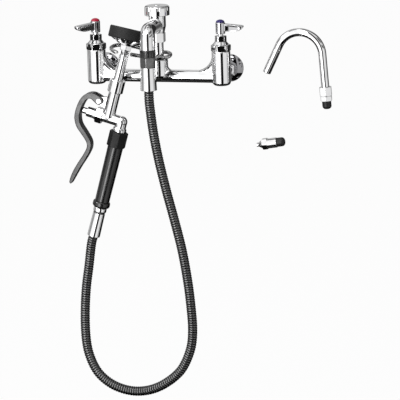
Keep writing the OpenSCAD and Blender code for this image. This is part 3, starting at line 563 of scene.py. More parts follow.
@dataclass(frozen=True)
class LeverCoat(Finish):
    """Satin grey coat on the forged lever, painted lighter and more metallic on its edges as a highlight."""

    name: str = "lever_coat"
    slot: Slot = Slot.LEVER_GREY
    tint: Colour = grey(0.075)
    speck: Colour = grey(0.055)
    # painted highlight: the lighter colour of the edges
    highlight_tone: Colour = grey(0.2)
    roughness: float = 0.24
    metallic: float = 0.8
    edge_radius: float = 0.8 * MM
    peel: Pattern = Pattern(900.0)
    peel_strength: float = 0.12
    peel_height: float = 0.1 * MM
    specks: Pattern = Pattern(70.0, 3.0, 0.3, 0.7)
    speck_share: float = 0.4
    speck_roughness: float = 0.08
    # painted highlight: how far it reaches, how strong it is and how metallic the edges turn
    lever_highlight_width: float = 1.2 * MM
    lever_highlight_share: float = 0.55
    lever_edge_metallic: float = 0.15
    # painted shade: the dark colour that crevices are painted
    crevice_shade: Colour = grey(0.01)
    crevice_shade_reach: float = 1.5 * MM

    def make(self) -> bpy.types.Material:
        """Orange peel, dark specks, a painted highlight on the edges and painted shade in crevices.

        Returns:
            The material.
        """
        tree = Surface(self.name)
        here = tree.place()
        peel = tree.noise(here, self.peel)
        specks = tree.patches(here, self.specks)
        # painted highlight: the edges are painted lighter and more metallic
        lever_edge_highlight = tree.edge(self.lever_highlight_width)
        colour = tree.blend(specks * self.speck_share, self.tint, self.speck)
        colour = tree.blend(lever_edge_highlight * self.lever_highlight_share, colour, self.highlight_tone)
        # painted shade: crevices darkened by an occlusion mask
        colour = tree.blend(tree.crevice(self.crevice_shade_reach), colour, self.crevice_shade)
        return tree.finish(
            Base_Color=colour,
            Metallic=self.metallic + self.lever_edge_metallic * lever_edge_highlight,
            Roughness=self.roughness + self.speck_roughness * specks,
            Normal=tree.bump(peel, self.peel_strength, self.peel_height, tree.rounded(self.edge_radius)),
        )


@dataclass(frozen=True)
class RibbedSteel(Finish):
    """Rolled steel strip of the hose: bright crests and grooves painted dark as shade."""

    DEPTH: ClassVar[str] = "groove_depth"

    name: str = "hose_strip"
    slot: Slot = Slot.HOSE_STEEL
    crest: Colour = grey(0.16)
    dull: Colour = grey(0.1)
    # painted shade: the dark colour of the grooves between the ribs
    groove: Colour = grey(0.006)
    groove_shade_range: tuple[float, float] = (0.25, 0.85)
    roughness: float = 0.2
    groove_roughness: float = 0.25
    edge_radius: float = 0.1 * MM
    film: Pattern = Pattern(260.0, 3.0, 0.3)
    film_share: float = 0.5
    film_roughness: float = 0.1
    scratches: Pattern = Pattern(2600.0)
    scratch_strength: float = 0.08
    scratch_height: float = 0.05 * MM

    def make(self) -> bpy.types.Material:
        """Reads how deep a point lies in its groove from the mesh.

        Returns:
            The material.
        """
        tree = Surface(self.name)
        depth = tree.add("ShaderNodeAttribute", {"attribute_name": self.DEPTH})["Fac"]
        here = tree.place()
        film = tree.patches(here, self.film)
        colour = tree.blend(film * self.film_share, self.crest, self.dull)
        scratches = tree.noise(here, self.scratches)
        smooth = tree.rounded(self.edge_radius)
        return tree.finish(
            # painted shade: the deeper a point lies in its groove, the darker it is painted
            Base_Color=tree.blend(depth.smooth(*self.groove_shade_range), colour, self.groove),
            Metallic=1.0,
            Roughness=self.roughness + self.film_roughness * film + self.groove_roughness * depth,
            Normal=tree.bump(scratches, self.scratch_strength, self.scratch_height, smooth),
        )


TURNED_CHROME = Chrome()
CAST_CHROME = Chrome("chrome_cast", edge_radius=0.9 * MM, waviness=0.06)
# painted shade: a darker copy of the chrome for the handles
SHADED_HANDLE_CHROME = Chrome("chrome_handle", tint=(0.66, 0.66, 0.67, 1.0), edge_radius=0.9 * MM, waviness=0.06)
# painted shade: a darker copy of the chrome for the wall flanges
SHADED_FLANGE_CHROME = Chrome("chrome_flange_shaded", tint=(0.36, 0.36, 0.37, 1.0))
TUBE_CHROME = Chrome("chrome_tube", roughness=0.02, edge_radius=0.3 * MM, waviness=0.02)
TURNED_BRASS = Metal("brass_turned", Slot.BRASS, (0.76, 0.58, 0.27, 1.0), (0.52, 0.38, 0.17, 1.0), 0.22)
DARK_NICKEL = Metal("nickel_dark", Slot.DARK_NICKEL, grey(0.075), grey(0.035), 0.25, (900.0, 900.0, 60.0))
SATIN_NICKEL = Metal("nickel_satin", Slot.CHROME, grey(0.24), grey(0.16), 0.22, (60.0, 60.0, 900.0))
WIRE = Metal("wire_drawn", Slot.WIRE_STEEL, grey(0.5), grey(0.34), 0.12, (300.0, 300.0, 300.0))
SPRING_WIRE = Metal("wire_spring", Slot.WIRE_STEEL, grey(0.55), grey(0.35), 0.2, (300.0, 300.0, 300.0))
FIBRE = Moulding("seal_fibre", Slot.SEAL, (0.05, 0.04, 0.035, 1.0), (0.09, 0.08, 0.07, 1.0), 0.8, 900.0)
SEAL = Moulding("seal_black", Slot.SEAL, grey(0.012), grey(0.03), 0.55)
BUMPER_RUBBER = Moulding("rubber_bumper", Slot.BLACK_RUBBER, grey(0.014), grey(0.03), 0.45, 1100.0, 0.3, 0.3)
CAP_RUBBER = Moulding("rubber_cap", Slot.BLACK_CAP, grey(0.01), grey(0.04), 0.34, 1500.0, 0.2, 0.4)
GRIP_SKIN = Moulding("grip_skin", Slot.GRIP, grey(0.003), grey(0.01), 0.14, 1700.0, 0.1, 0.9)
COLLAR_SKIN = Moulding("collar_skin", Slot.GRIP, grey(0.004), grey(0.01), 0.42, 1500.0, 0.15, 0.35)
SPRAY_PLATE = Moulding("spray_plate", Slot.SPRAY_PLATE, grey(0.09), grey(0.16), 0.3, 1500.0, 0.1)
HOT_ENAMEL = Enamel("enamel_hot", Slot.HOT_RED, (0.62, 0.012, 0.06, 1.0), (0.36, 0.004, 0.03, 1.0))
COLD_ENAMEL = Enamel("enamel_cold", Slot.COLD_INDIGO, (0.04, 0.025, 0.2, 1.0), (0.015, 0.01, 0.1, 1.0))
LEVER_COAT = LeverCoat()
HOSE_STRIP = RibbedSteel()


# ---------------------------------------------------------------- making pieces


def dress(finish: Finish, *nodes: str) -> None:
    """Gives CAD nodes a finish.

    Args:
        finish: the finish.
        nodes: names of the nodes.
    """
    for name in nodes:
        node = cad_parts[name]
        if not node.material_slots:
            node.data.materials.append(None)
        for slot in node.material_slots:
            slot.material = finish.material()
        LOG.info("%s dressed in %s", name, finish.name)


def piece(name: str, mesh: bpy.types.Mesh, finish: Finish) -> bpy.types.Object:
    """An object of a finished mesh.

    Args:
        name: the piece's name.
        mesh: the mesh, in place.
        finish: its finish.

    Returns:
        The object.
    """
    mesh.name = name
    mesh.materials.clear()
    mesh.materials.append(finish.material())
    made = bpy.data.objects.new(name, mesh)
    bpy.context.scene.collection.objects.link(made)
    LOG.info("%s made with %d faces", name, len(mesh.polygons))
    return made


def settled(holder: bpy.types.Object) -> bpy.types.Mesh:
    """The plain mesh that an object's modifiers give. The object is removed.

    Args:
        holder: an object in no collection.

    Returns:
        The mesh.
    """
    bpy.context.scene.collection.objects.link(holder)
    depsgraph = bpy.context.evaluated_depsgraph_get()
    mesh = bpy.data.meshes.new_from_object(holder.evaluated_get(depsgraph))
    bpy.data.objects.remove(holder)
    return mesh


def welded(node: str) -> bpy.types.Mesh:
    """A copy of a CAD node's mesh with its loose triangles joined.

    Args:
        node: the node's name.

    Returns:
        The mesh.
    """
    shape = bmesh.new()
    shape.from_mesh(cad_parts[node].data)
    bmesh.ops.remove_doubles(shape, verts=shape.verts, dist=WELD)
    mesh = bpy.data.meshes.new(node + "_welded")
    shape.to_mesh(mesh)
    shape.free()
    return mesh


@dataclass(frozen=True)
class Casting:
    """A cast or forged part: its CAD solid with the edges run out."""

    node: str
    body: str
    finish: Finish
    grid: float
    passes: int
    factor: float = 0.5

    def build(self) -> bpy.types.Object:
        """Remeshes a welded copy of the solid and relaxes it.

        Returns:
            The piece, which stands for the node.
        """
        holder = bpy.data.objects.new(self.node + "_holder", welded(self.node))
        remesh = holder.modifiers.new("grid", "REMESH")
        remesh.mode = "VOXEL"
        remesh.voxel_size = self.grid
        remesh.use_smooth_shade = True
        relax = holder.modifiers.new("relax", "SMOOTH")
        relax.factor = self.factor
        relax.iterations = self.passes
        made = piece(self.node + "_cast", settled(holder), self.finish)
        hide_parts(self.node)
        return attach(made, self.body)


@dataclass(frozen=True)
class Hexagon:
    """A hexagon fitting, turned to where it was tightened."""

    node: str
    finish: Finish
    axis: tuple[float, float]
    turn: float
    sharp: float = math.radians(25.0)

    def build(self) -> bpy.types.Object:
        """Turns a welded copy of the solid about an upright axis.

        Returns:
            The piece, which stands for the node.
        """
        mesh = welded(self.node)
        foot = Matrix.Translation((*self.axis, 0.0))
        mesh.transform(foot @ Matrix.Rotation(self.turn, 4, "Z") @ foot.inverted())
        mesh.shade_smooth()
        mesh.set_sharp_from_angle(angle=self.sharp)
        made = piece(self.node + "_tightened", mesh, self.finish)
        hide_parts(self.node)
        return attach(made, "faucet")


# ---------------------------------------------------------------- geometry trees


class Growth(Tree):
    """A geometry tree with named inputs, which ends in realized geometry with its finish."""

    KINDS = {int: "NodeSocketInt", float: "NodeSocketFloat"}

    def __init__(self, name: str, sizes: dict[str, float | int]) -> None:
        """Makes the tree with its inputs.

        Args:
            name: the tree's name.
            sizes: the named inputs with their values.
        """
        super().__init__(bpy.data.node_groups.new(name, "GeometryNodeTree"))
        interface = self.data.interface
        interface.new_socket(name="Geometry", in_out="INPUT", socket_type="NodeSocketGeometry")
        interface.new_socket(name="Geometry", in_out="OUTPUT", socket_type="NodeSocketGeometry")
        self.sizes = sizes
        kinds = {label: self.KINDS[type(value)] for label, value in sizes.items()}
        self.keys = {
            label: interface.new_socket(name=label, in_out="INPUT", socket_type=kind).identifier
            for label, kind in {**kinds, "Finish": "NodeSocketMaterial"}.items()
        }
        self.inputs = self.add("NodeGroupInput")

    def __getitem__(self, label: str) -> Socket:
        """The named input."""
        return self.inputs[label]

    def ring(self, sides: Socket | int, radius: Socket | float) -> Socket:
        """A circle curve.

        Args:
            sides: points round it.
            radius: its radius.

        Returns:
            The curve.
        """
        return self.add("GeometryNodeCurvePrimitiveCircle", None, {"Resolution": sides, "Radius": radius})[0]

    def route(self, count: Socket | int) -> Socket:
        """The curve that the tree starts from, with evenly spaced points.

        Args:
            count: how many points.

        Returns:
            The curve.
        """
        return self.add("GeometryNodeResampleCurve", None, {"Curve": self["Geometry"], "Count": count})[0]

    def sweep(self, path: Socket, profile: Socket, scale: Socket | float = 1.0, caps: bool = False) -> Socket:
        """A profile carried along a path.

        Args:
            path: the path's curve.
            profile: the profile's curve.
            scale: size of the profile along the path.
            caps: whether the ends are closed.

        Returns:
            The mesh.
        """
        sockets = {"Curve": path, "Profile Curve": profile, "Scale": scale, "Fill Caps": caps}
        return self.add("GeometryNodeCurveToMesh", None, sockets)[0]

    def close(self, *meshes: Socket) -> None:
        """Ends the tree: smooth shading, real geometry, finish.

        Args:
            meshes: what the tree has made.
        """
        joined = self.add("GeometryNodeJoinGeometry", None, {"Geometry": list(meshes)})[0]
        smooth = self.add("GeometryNodeSetShadeSmooth", None, {"Geometry": joined})[0]
        real = self.add("GeometryNodeRealizeInstances", None, {"Geometry": smooth})[0]
        dressed = self.add("GeometryNodeSetMaterial", None, {"Geometry": real, "Material": self["Finish"]})[0]
        self.add("NodeGroupOutput", None, {"Geometry": dressed})

    def grow(self, base: bpy.types.ID, finish: Finish) -> bpy.types.Mesh:
        """Runs the tree.

        Args:
            base: the curve or mesh that it starts from.
            finish: the finish of what it makes.

        Returns:
            The plain mesh.
        """
        holder = bpy.data.objects.new(self.data.name + "_holder", base)
        modifier = holder.modifiers.new(self.data.name, "NODES")
        modifier.node_group = self.data
        for label, value in self.sizes.items():
            modifier[self.keys[label]] = value
        modifier[self.keys["Finish"]] = finish.material()
        return settled(holder)


def curve_through(name: str, points: list[Vector]) -> bpy.types.Curve:
    """A curve of straight steps through points.

    Args:
        name: its name.
        points: the points.

    Returns:
        The curve.
    """
    curve = bpy.data.curves.new(name, "CURVE")
    curve.dimensions = "3D"
    spline = curve.splines.new("POLY")
    spline.points.add(len(points) - 1)
    for place, point in zip(spline.points, points):
        place.co = (*point, 1.0)
    return curve


def in_metres(points: tuple[Point, ...]) -> list[Vector]:
    """Points in millimetres as vectors in metres."""
    return [Vector(p) * MM for p in points]


def smooth_path(points: list[Vector], steps: int = 8) -> list[Vector]:
    """A smooth curve through all points but the first and last, which only steer it.

    Args:
        points: the points.
        steps: steps between neighbours.

    Returns:
        The curve's points.
    """
    made = []
    for p0, p1, p2, p3 in zip(points, points[1:], points[2:], points[3:]):
        for k in range(steps):
            t = k / steps
            made.append(
                0.5 * (2 * p1 + (p2 - p0) * t + (2 * p0 - 5 * p1 + 4 * p2 - p3) * t * t
                       + (3 * p1 - p0 - 3 * p2 + p3) * t * t * t)
            )
    made.append(points[-2])
    return made


def close_ends(mesh: bpy.types.Mesh) -> None:
    """Joins a tube's outer wall to its bore at both ends.

    Args:
        mesh: the tube's mesh, which is changed. Its two ends lie apart along X.
    """
    shape = bmesh.new()
    shape.from_mesh(mesh)
    rims = [e for e in shape.edges if e.is_boundary]
    middle = sum(e.verts[0].co.x for e in rims) / len(rims)
    for side in (-1, 1):
        bmesh.ops.bridge_loops(shape, edges=[e for e in rims if side * (e.verts[0].co.x - middle) > 0])
    bmesh.ops.recalc_face_normals(shape, faces=shape.faces)
    shape.to_mesh(mesh)
    shape.free()


def empty_mesh(name: str) -> bpy.types.Mesh:
    """A mesh without points, for a tree that makes all of its own geometry."""
    return bpy.data.meshes.new(name)


# ---------------------------------------------------------------- studio


@dataclass(frozen=True)
class Lamp:
    """A soft box that faces the object."""

    name: str
    place: Point
    width: float
    height: float
    watts: float
    aim: Point = (0.02, -0.08, -0.15)

    def build(self) -> None:
        """Hangs the lamp, which the camera doesn't see."""
        data = bpy.data.lights.new(self.name, "AREA")
        data.shape = "RECTANGLE"
        data.size = self.width
        data.size_y = self.height
        data.energy = self.watts
        lamp = bpy.data.objects.new(self.name, data)
        lamp.visible_camera = False
        beam = Vector(self.aim) - Vector(self.place)
        facing = beam.to_track_quat("-Z", "Y").to_matrix().to_4x4()
        lamp.matrix_world = Matrix.Translation(self.place) @ facing
        bpy.context.scene.collection.objects.link(lamp)


class Half(Enum):
    """Halves of the room, before and behind the object."""

    BOTH = "both"
    FRONT = "front"
    BACK = "back"


@dataclass(frozen=True)
class Flag:
    """A dark panel of the room, at angles seen from the object.

    Turn is counted in degrees to the right from the camera, and rise from the horizon. Each is
    its low end, its high end and half the width of its soft edges. An end at 200 is open.
    """

    darkness: float
    turn: Span | None = None
    rise: Span | None = None
    half: Half = Half.BOTH

    def shade(self, turn: Socket, rise: Socket) -> Socket:
        """How much light the flag takes away.

        Args:
            turn: the turn of a ray.
            rise: the rise of a ray.

        Returns:
            0 beside the flag and its darkness on it.
        """
        spans = ((turn, self.turn), (rise, self.rise))
        return self.darkness * math.prod(angle.band(*span) for angle, span in spans if span)


@dataclass
class Studio:
    """Camera, lamps, surroundings and floor.

    The fill lights matt parts, less by its slope towards the right. The divide is where the room's
    front half fades into its back one, as a share of the way towards the camera.
    """

    target: Point = (0.062105, -0.060871, -0.202304)
    distance: float = 5.0
    azimuth: float = math.radians(15.0)
    elevation: float = math.radians(12.0)
    roll: float = math.radians(1.7)
    lens: float = 284.8
    sensor: float = 36.0
    sight: float = 200.0
    floor_height: float = -0.62
    floor_size: float = 60.0
    floor_tone: float = 0.85
    floor_glow: float = 0.95
    mirror_strength: float = 1.06
    fill: float = 0.5
    fill_slope: float = 0.25
    divide: tuple[float, float] = (-0.05, 0.05)
    flags: tuple[Flag, ...] = (
        # beside the camera, which draws the dark stripe down every upright tube
        Flag(0.995, (-7.0, 22.0, 2.0), (-45.0, 74.0, 2.0)),
        # the right-hand wall, darker beyond its corner, and a panel behind it
        Flag(0.25, (23.0, 200.0, 3.0)),
        Flag(0.45, (71.0, 200.0, 11.0)),
        Flag(0.95, (101.0, 150.0, 5.0), (-60.0, 50.0, 8.0)),
        # bars on the right-hand wall
        Flag(0.85, (34.0, 82.0, 4.0), (11.0, 20.0, 2.0)),
        Flag(0.85, (34.0, 82.0, 4.0), (27.0, 46.0, 3.0)),
        # the left-hand wall beyond its corner, with narrow panels before and on it
        Flag(0.5, (-200.0, -83.0, 3.0), (-40.0, 40.0, 8.0)),
        Flag(0.85, (-87.0, -76.0, 2.0), (-40.0, 50.0, 8.0)),
        Flag(0.95, (-113.0, -101.0, 2.0), (-30.0, 30.0, 4.0)),
        Flag(0.85, (-170.0, -150.0, 4.0), (-40.0, 40.0, 8.0)),
        # the ground, which starts higher behind the object
        Flag(0.995, rise=(-200.0, -35.0, 2.0), half=Half.FRONT),
        Flag(0.985, rise=(-200.0, -17.5, 4.5), half=Half.BACK),
        # a spot straight overhead and a beam behind it
        Flag(0.85, rise=(81.5, 200.0, 1.5)),
        Flag(0.8, rise=(50.0, 70.0, 2.0), half=Half.BACK),
    )
    lamps: tuple[Lamp, ...] = (
        Lamp("lamp_left", (-1.3, -1.1, 1.2), 0.7, 0.7, 12.0),
        Lamp("lamp_strip", (-0.5, -1.74, -0.35), 0.45, 1.5, 10.0),
        Lamp("lamp_top", (0.1, -1.2, 1.5), 0.8, 0.8, 7.0),
    )

    def axes(self) -> tuple[Vector, Vector, Vector]:
        """Which way the camera stands.

        Returns:
            Its right, up and back directions.
        """
        a, e, t = self.azimuth, self.elevation, self.roll
        back = Vector((math.sin(a) * math.cos(e), -math.cos(a) * math.cos(e), math.sin(e)))
        level = Vector((math.cos(a), math.sin(a), 0.0))
        upright = back.cross(level)
        right = level * math.cos(t) - upright * math.sin(t)
        up = upright * math.cos(t) + level * math.sin(t)
        return right, up, back

    def camera(self) -> None:
        """Sets the camera up."""
        right, up, back = self.axes()
        data = bpy.data.cameras.new("camera")
        data.lens = self.lens
        data.sensor_width = self.sensor
        data.clip_end = self.sight
        camera = bpy.data.objects.new("camera", data)
        place = Vector(self.target) + back * self.distance
        facing = Matrix((right, up, back)).transposed().to_4x4()
        camera.matrix_world = Matrix.Translation(place) @ facing
        bpy.context.scene.collection.objects.link(camera)
        bpy.context.scene.camera = camera

    def room(self, tree: Tree) -> tuple[Socket, Socket]:
        """The room that bright parts mirror.

        Args:
            tree: the world's tree.

        Returns:
            Its brightness along a ray, and how far the ray goes to the right.
        """
        ray = tree.add("ShaderNodeTexCoord")["Generated"]
        a = self.azimuth
        right, toward, up = (
            tree.add("ShaderNodeVectorMath", {"operation": "DOT_PRODUCT"}, {0: ray, 1: axis})["Value"]
            for axis in ((math.cos(a), math.sin(a), 0.0), (math.sin(a), -math.cos(a), 0.0), (0.0, 0.0, 1.0))
        )
        turn = tree.math("ARCTAN2", right, toward) * math.degrees(1.0)
        rise = tree.math("ARCSINE", up) * math.degrees(1.0)
        front = toward.smooth(*self.divide)
        halves = {Half.BOTH: 1.0, Half.FRONT: front, Half.BACK: 1 - front}
        level = math.prod(1 - flag.shade(turn, rise) * halves[flag.half] for flag in self.flags)
        return level, right

    def surroundings(self) -> None:
        """White to the eye, dull light for matt parts and the room with its flags for mirrors."""
        world = bpy.data.worlds.new("studio")
        bpy.context.scene.world = world
        world.use_nodes = True
        tree = Tree(world.node_tree)
        level, right = self.room(tree)
        mirror = tree.add("ShaderNodeLightPath")["Is Glossy Ray"]
        plain = self.fill - self.fill_slope * right
        seen = tree.seen()
        strength = seen + (1 - seen) * (mirror * level * self.mirror_strength + (1 - mirror) * plain)
        shade = tree.add("ShaderNodeBackground", None, {"Color": grey(1.0), "Strength": strength})[0]
        tree.add("ShaderNodeOutputWorld", None, {"Surface": shade})

    def floor(self) -> None:
        """A pale floor that glows white to the eye and keeps a soft shadow."""
        half = self.floor_size / 2
        mesh = bpy.data.meshes.new("floor")
        corners = [(x * half, y * half, self.floor_height) for x, y in ((-1, -1), (1, -1), (1, 1), (-1, 1))]
        mesh.from_pydata(corners, [], [(0, 1, 2, 3)])
        tree = Surface("floor_paint")
        paint = tree.add("ShaderNodeBsdfDiffuse", None, {"Color": grey(self.floor_tone)})[0]
        glow = tree.add("ShaderNodeEmission", None, {"Color": grey(1.0), "Strength": 1.0})[0]
        sockets = {0: self.floor_glow * tree.seen(), 1: paint, 2: glow}
        mixed = tree.add("ShaderNodeMixShader", None, sockets)[0]
        tree.add("ShaderNodeOutputMaterial", None, {"Surface": mixed})
        mesh.materials.append(tree.material)
        floor = bpy.data.objects.new("floor", mesh)
        floor.visible_glossy = False
        bpy.context.scene.collection.objects.link(floor)

    def build(self) -> None:
        """Camera first, then light and floor."""
        self.camera()
        self.surroundings()
        for lamp in self.lamps:
            lamp.build()
        self.floor()
        bpy.context.scene.view_settings.view_transform = "Standard"


# ---------------------------------------------------------------- the hanging sprayer's frame


@dataclass(frozen=True)
class Hang:
    """Where the sprayer hangs: across its wand towards the grip, and up the wand."""

    origin: Point = (-75.5 * MM, -88.0 * MM, -67.7 * MM)
    tilt: float = math.radians(16.0)
    grip_offset: float = 22.0 * MM
    head_turn: float = math.radians(16.5)
    head_lean: float = math.radians(13.0)
    bend_radius: float = 30.0 * MM
    bend_height: float = 98.0 * MM

    def at(self, across: float, up: float) -> Vector:
        """A place on the sprayer.

        Args:
            across: distance from the wand's axis towards the grip.
            up: distance along the wand from the barrel's axis.

        Returns:
            The point.
        """
        x, y, z = self.origin
        c, s = math.cos(self.tilt), math.sin(self.tilt)
        return Vector((x + across * c + up * s, y, z - across * s + up * c))

    def matrix(self) -> Matrix:
        """Carries the sprayer's own frame to where it hangs."""
        return Matrix.Translation(self.origin) @ Matrix.Rotation(self.tilt, 4, "Y")

    def head(self) -> Matrix:
        """Carries the spray head's own frame to where it leans on the wand's bend.

        Returns:
            The matrix.
        """
        bend = Matrix.Translation((0.0, self.bend_radius, self.bend_height))
        lean = bend @ Matrix.Rotation(-self.head_lean, 4, "X") @ bend.inverted()
        return self.matrix() @ Matrix.Rotation(self.head_turn, 4, "Z") @ lean


HANG = Hang()


# ---------------------------------------------------------------- hose


@dataclass
class SprayHose:
    """Ribbed steel hose from the outlet's ferrule round the loop to the sprayer's ferrule."""

    radius: float = 7.65 * MM
    groove: float = 1.1 * MM
    bore_radius: float = 4.8 * MM
    ribs: int = 220
    rings_per_rib: int = 6
    bore_rings: int = 140
    sides: int = 20
    crest_power: float = 0.6
    nudge: float = 0.0005
    start: Point = (0.0, -117.0 * MM, -17.0 * MM)
    ferrule_drop: float = -192.0 * MM
    turns: tuple[Point, ...] = (
        (1, -116, -50), (5, -114, -90), (12, -113, -132), (22, -111, -180), (33, -110, -226),
        (43, -108, -273), (50, -106, -322), (54, -105, -365), (55, -103, -405), (50, -102, -437),
        (34, -101, -470), (8, -100, -493), (-20, -99, -506), (-50, -98, -509), (-80, -97, -501),
        (-104, -96, -483), (-118, -95, -457), (-124, -94, -428), (-125, -92, -388),
        (-122, -90.5, -345), (-116.5, -89, -308),
    )

    def route(self) -> list[Vector]:
        """The centre line, straight for a diameter at both ends.

        Returns:
            Its points, from the outlet to the sprayer.
        """
        first = Vector(self.start)
        last = HANG.at(HANG.grip_offset, self.ferrule_drop)
        straight = 2 * self.radius
        down = Vector((0.0, 0.0, -1.0))
        up = HANG.at(0.0, 1.0) - HANG.at(0.0, 0.0)
        points = [first, first + straight * down, *in_metres(self.turns), last - straight * up, last]
        return smooth_path([first, *points, last])

    def tree(self) -> Growth:
        """Ribs: a circle carried along the route, its size going up and down once a rib.

        Returns:
            The tree.
        """
        tree = Growth("hose_ribs", {
            "Ribs": self.ribs, "Rings": self.rings_per_rib * self.ribs + 1, "Sides": self.sides,
            "Radius": self.radius, "Groove": self.groove,
            "Bore Radius": self.bore_radius, "Bore Rings": self.bore_rings,
        })
        circle = tree.ring(tree["Sides"], 1.0)
        along = tree.add("GeometryNodeSplineParameter")["Factor"] * tree["Ribs"]
        # the nudge keeps rounding from taking the sine below zero where two ribs meet
        phase = tree.math("FRACT", along + self.nudge) * math.pi
        depth = 1 - tree.math("SINE", phase) ** self.crest_power
        sockets = {"Geometry": tree.route(tree["Rings"]), "Name": RibbedSteel.DEPTH, "Value": depth}
        path = tree.add("GeometryNodeStoreNamedAttribute", None, sockets)[0]
        outer = tree.sweep(path, circle, tree["Radius"] - tree["Groove"] * depth)
        bore = tree.sweep(tree.route(tree["Bore Rings"]), circle, tree["Bore Radius"])
        tree.close(outer, tree.add("GeometryNodeFlipFaces", None, {"Mesh": bore})[0])
        return tree

    def build(self) -> None:
        route = self.route()
        length = sum((b - a).length for a, b in zip(route, route[1:]))
        mesh = self.tree().grow(curve_through("hose_route", route), HOSE_STRIP)
        close_ends(mesh)
        hose = piece("ribbed_hose", mesh, HOSE_STRIP)
        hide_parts("hose")
        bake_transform(hose)
        LOG.info("hose is %.0f mm long", length / MM)


# ---------------------------------------------------------------- mixing body and valves


@dataclass
class MixingBody:
    """Cast body with its crossbar, the wall flanges and the coupling nuts."""

    grid: float = 0.8 * MM
    passes: int = 10

    def build(self) -> None:
        """Runs out the casting and dresses the rest."""
        Casting("faucet_body", "faucet", CAST_CHROME, self.grid, self.passes).build()
        for side in Side:
            # the flanges wear the darker copy of the chrome, as painted shade
            dress(SHADED_FLANGE_CHROME, side.value + "_inlet")
            dress(TURNED_CHROME, side.value + "_coupling_nut")
            dress(FIBRE, side.value + "_inlet_washer")


@dataclass
class Valve:
    """One valve with its handle and coloured button."""

    side: Side
    enamel: Finish
    offset: float = 101.6 * MM
    stand_off: float = 55.0 * MM
    grid: float = 0.4 * MM
    passes: int = 9
    tightened: float = math.radians(-8.0)
    hub_radius: float = 7.5 * MM
    hollow: float = 1.3 * MM
    rim: float = 1.8 * MM
    blade_slope: float = 0.12

    @property
    def axis(self) -> tuple[float, float]:
        """Where the valve's upright axis stands, in X and Y."""
        return (-self.offset if self.side is Side.HOT else self.offset, -self.stand_off)

    def dish(self, handle: bpy.types.Object) -> None:
        """Hollows both cheeks of the blade, which keeps a rim.

        Args:
            handle: the handle, whose mesh is changed.
        """
        about = Vector((*self.axis, 0.0))
        points = [v.co - about for v in handle.data.vertices]
        nose = max(points, key=lambda p: p.xy.length)
        reach = nose.xy.length
        out = Vector((*nose.xy.normalized(), 0.0))
        across = Vector((-out.y, out.x, 0.0))
        blade = [p.z for p in points if p.dot(out) > self.hub_radius + self.rim]
        low, high = min(blade), max(blade)
        middle, half = (self.hub_radius + reach) / 2, (reach - self.hub_radius) / 2
        for vertex, point in zip(handle.data.vertices, points):
            away, side = point.dot(out), point.dot(across)
            along = (away - middle) / half
            edge = min(point.z - low, high - point.z - self.blade_slope * max(0.0, away)) / self.rim
            depth = self.hollow * max(0.0, 1 - along * along) * min(1.0, max(0.0, edge))
            if abs(side) > 2 * self.hollow and away > 0:
                vertex.co -= math.copysign(depth, side) * across

    def build(self) -> None:
        """Runs out the cast handle, turns the hexagons and dresses the rest."""
        name = self.side.value
        handle = name + "_handle"
        self.dish(Casting(handle, handle, SHADED_HANDLE_CHROME, self.grid, self.passes).build())
        for part in ("_bonnet", "_packing_nut"):
            Hexagon(name + part, TURNED_CHROME, self.axis, self.tightened).build()
        dress(TURNED_BRASS, name + "_cartridge")
        dress(TURNED_CHROME, name + "_spindle", name + "_handle_screw")
        dress(self.enamel, name + "_index")


# ---------------------------------------------------------------- riser and outlet


@dataclass
class RiserColumn:
    """Riser, its nut and the vacuum breaker."""

    def build(self) -> None:
        """Dresses the column's parts."""
        dress(TUBE_CHROME, "riser_pipe")
        dress(TURNED_CHROME, "riser_nut", "breaker_body", "breaker_hood", "breaker_screw", "breaker_guide")
        dress(SEAL, "breaker_poppet")


@dataclass
class Outlet:
    """Elbow, grooved adapter, hose nut and upper ferrule."""

    def build(self) -> None:
        """Dresses the outlet's parts."""
        dress(TUBE_CHROME, "outlet_elbow")
        dress(DARK_NICKEL, "hose_adapter")
        dress(SATIN_NICKEL, "hose_nut")
        dress(TURNED_CHROME, "upper_ferrule")
        dress(FIBRE, "hose_washer")


# ---------------------------------------------------------------- sprayer


@dataclass
class Grip:
    """Lower ferrule, swivel nut and the black grip."""

    def build(self) -> None:
        """Dresses the grip's parts."""
        dress(TURNED_CHROME, "lower_ferrule", "swivel_nut")
        dress(GRIP_SKIN, "grip_sleeve", "grip_end_ring")
        dress(COLLAR_SKIN, "grip_collar")
        dress(TURNED_BRASS, "grip_tube")
        dress(FIBRE, "swivel_washer")


@dataclass
class ReturnSpring:
    """Coil spring between the seat washer and the end of the valve's chamber."""

    near: float = 10.9 * MM
    far: float = 24.9 * MM
    radius: float = 4.3 * MM
    wire: float = 0.5 * MM
    sides: int = 8
    coils: float = 6.0
    steps_per_coil: int = 28

    def build(self) -> None:
        """Grows the coil between plunger and body."""
        tree = Growth("spring_coil", {
            "Coils": self.coils, "Steps": self.steps_per_coil, "Radius": self.radius,
            "Height": self.far - self.near - 2 * self.wire, "Wire Radius": self.wire, "Sides": self.sides,
        })
        sockets = {"Resolution": tree["Steps"], "Rotations": tree["Coils"], "Start Radius": tree["Radius"],
                   "End Radius": tree["Radius"], "Height": tree["Height"]}
        coil = tree.add("GeometryNodeCurveSpiral", None, sockets)[0]
        tree.close(tree.sweep(coil, tree.ring(tree["Sides"], tree["Wire Radius"]), caps=True))
        mesh = tree.grow(empty_mesh("spring_base"), SPRING_WIRE)
        chamber = HANG.matrix() @ Matrix.Rotation(math.pi / 2, 4, "Y")
        mesh.transform(chamber @ Matrix.Translation((0.0, 0.0, self.near + self.wire)))
        spring = piece("return_spring", mesh, SPRING_WIRE)
        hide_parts("valve_spring")
        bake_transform(spring)


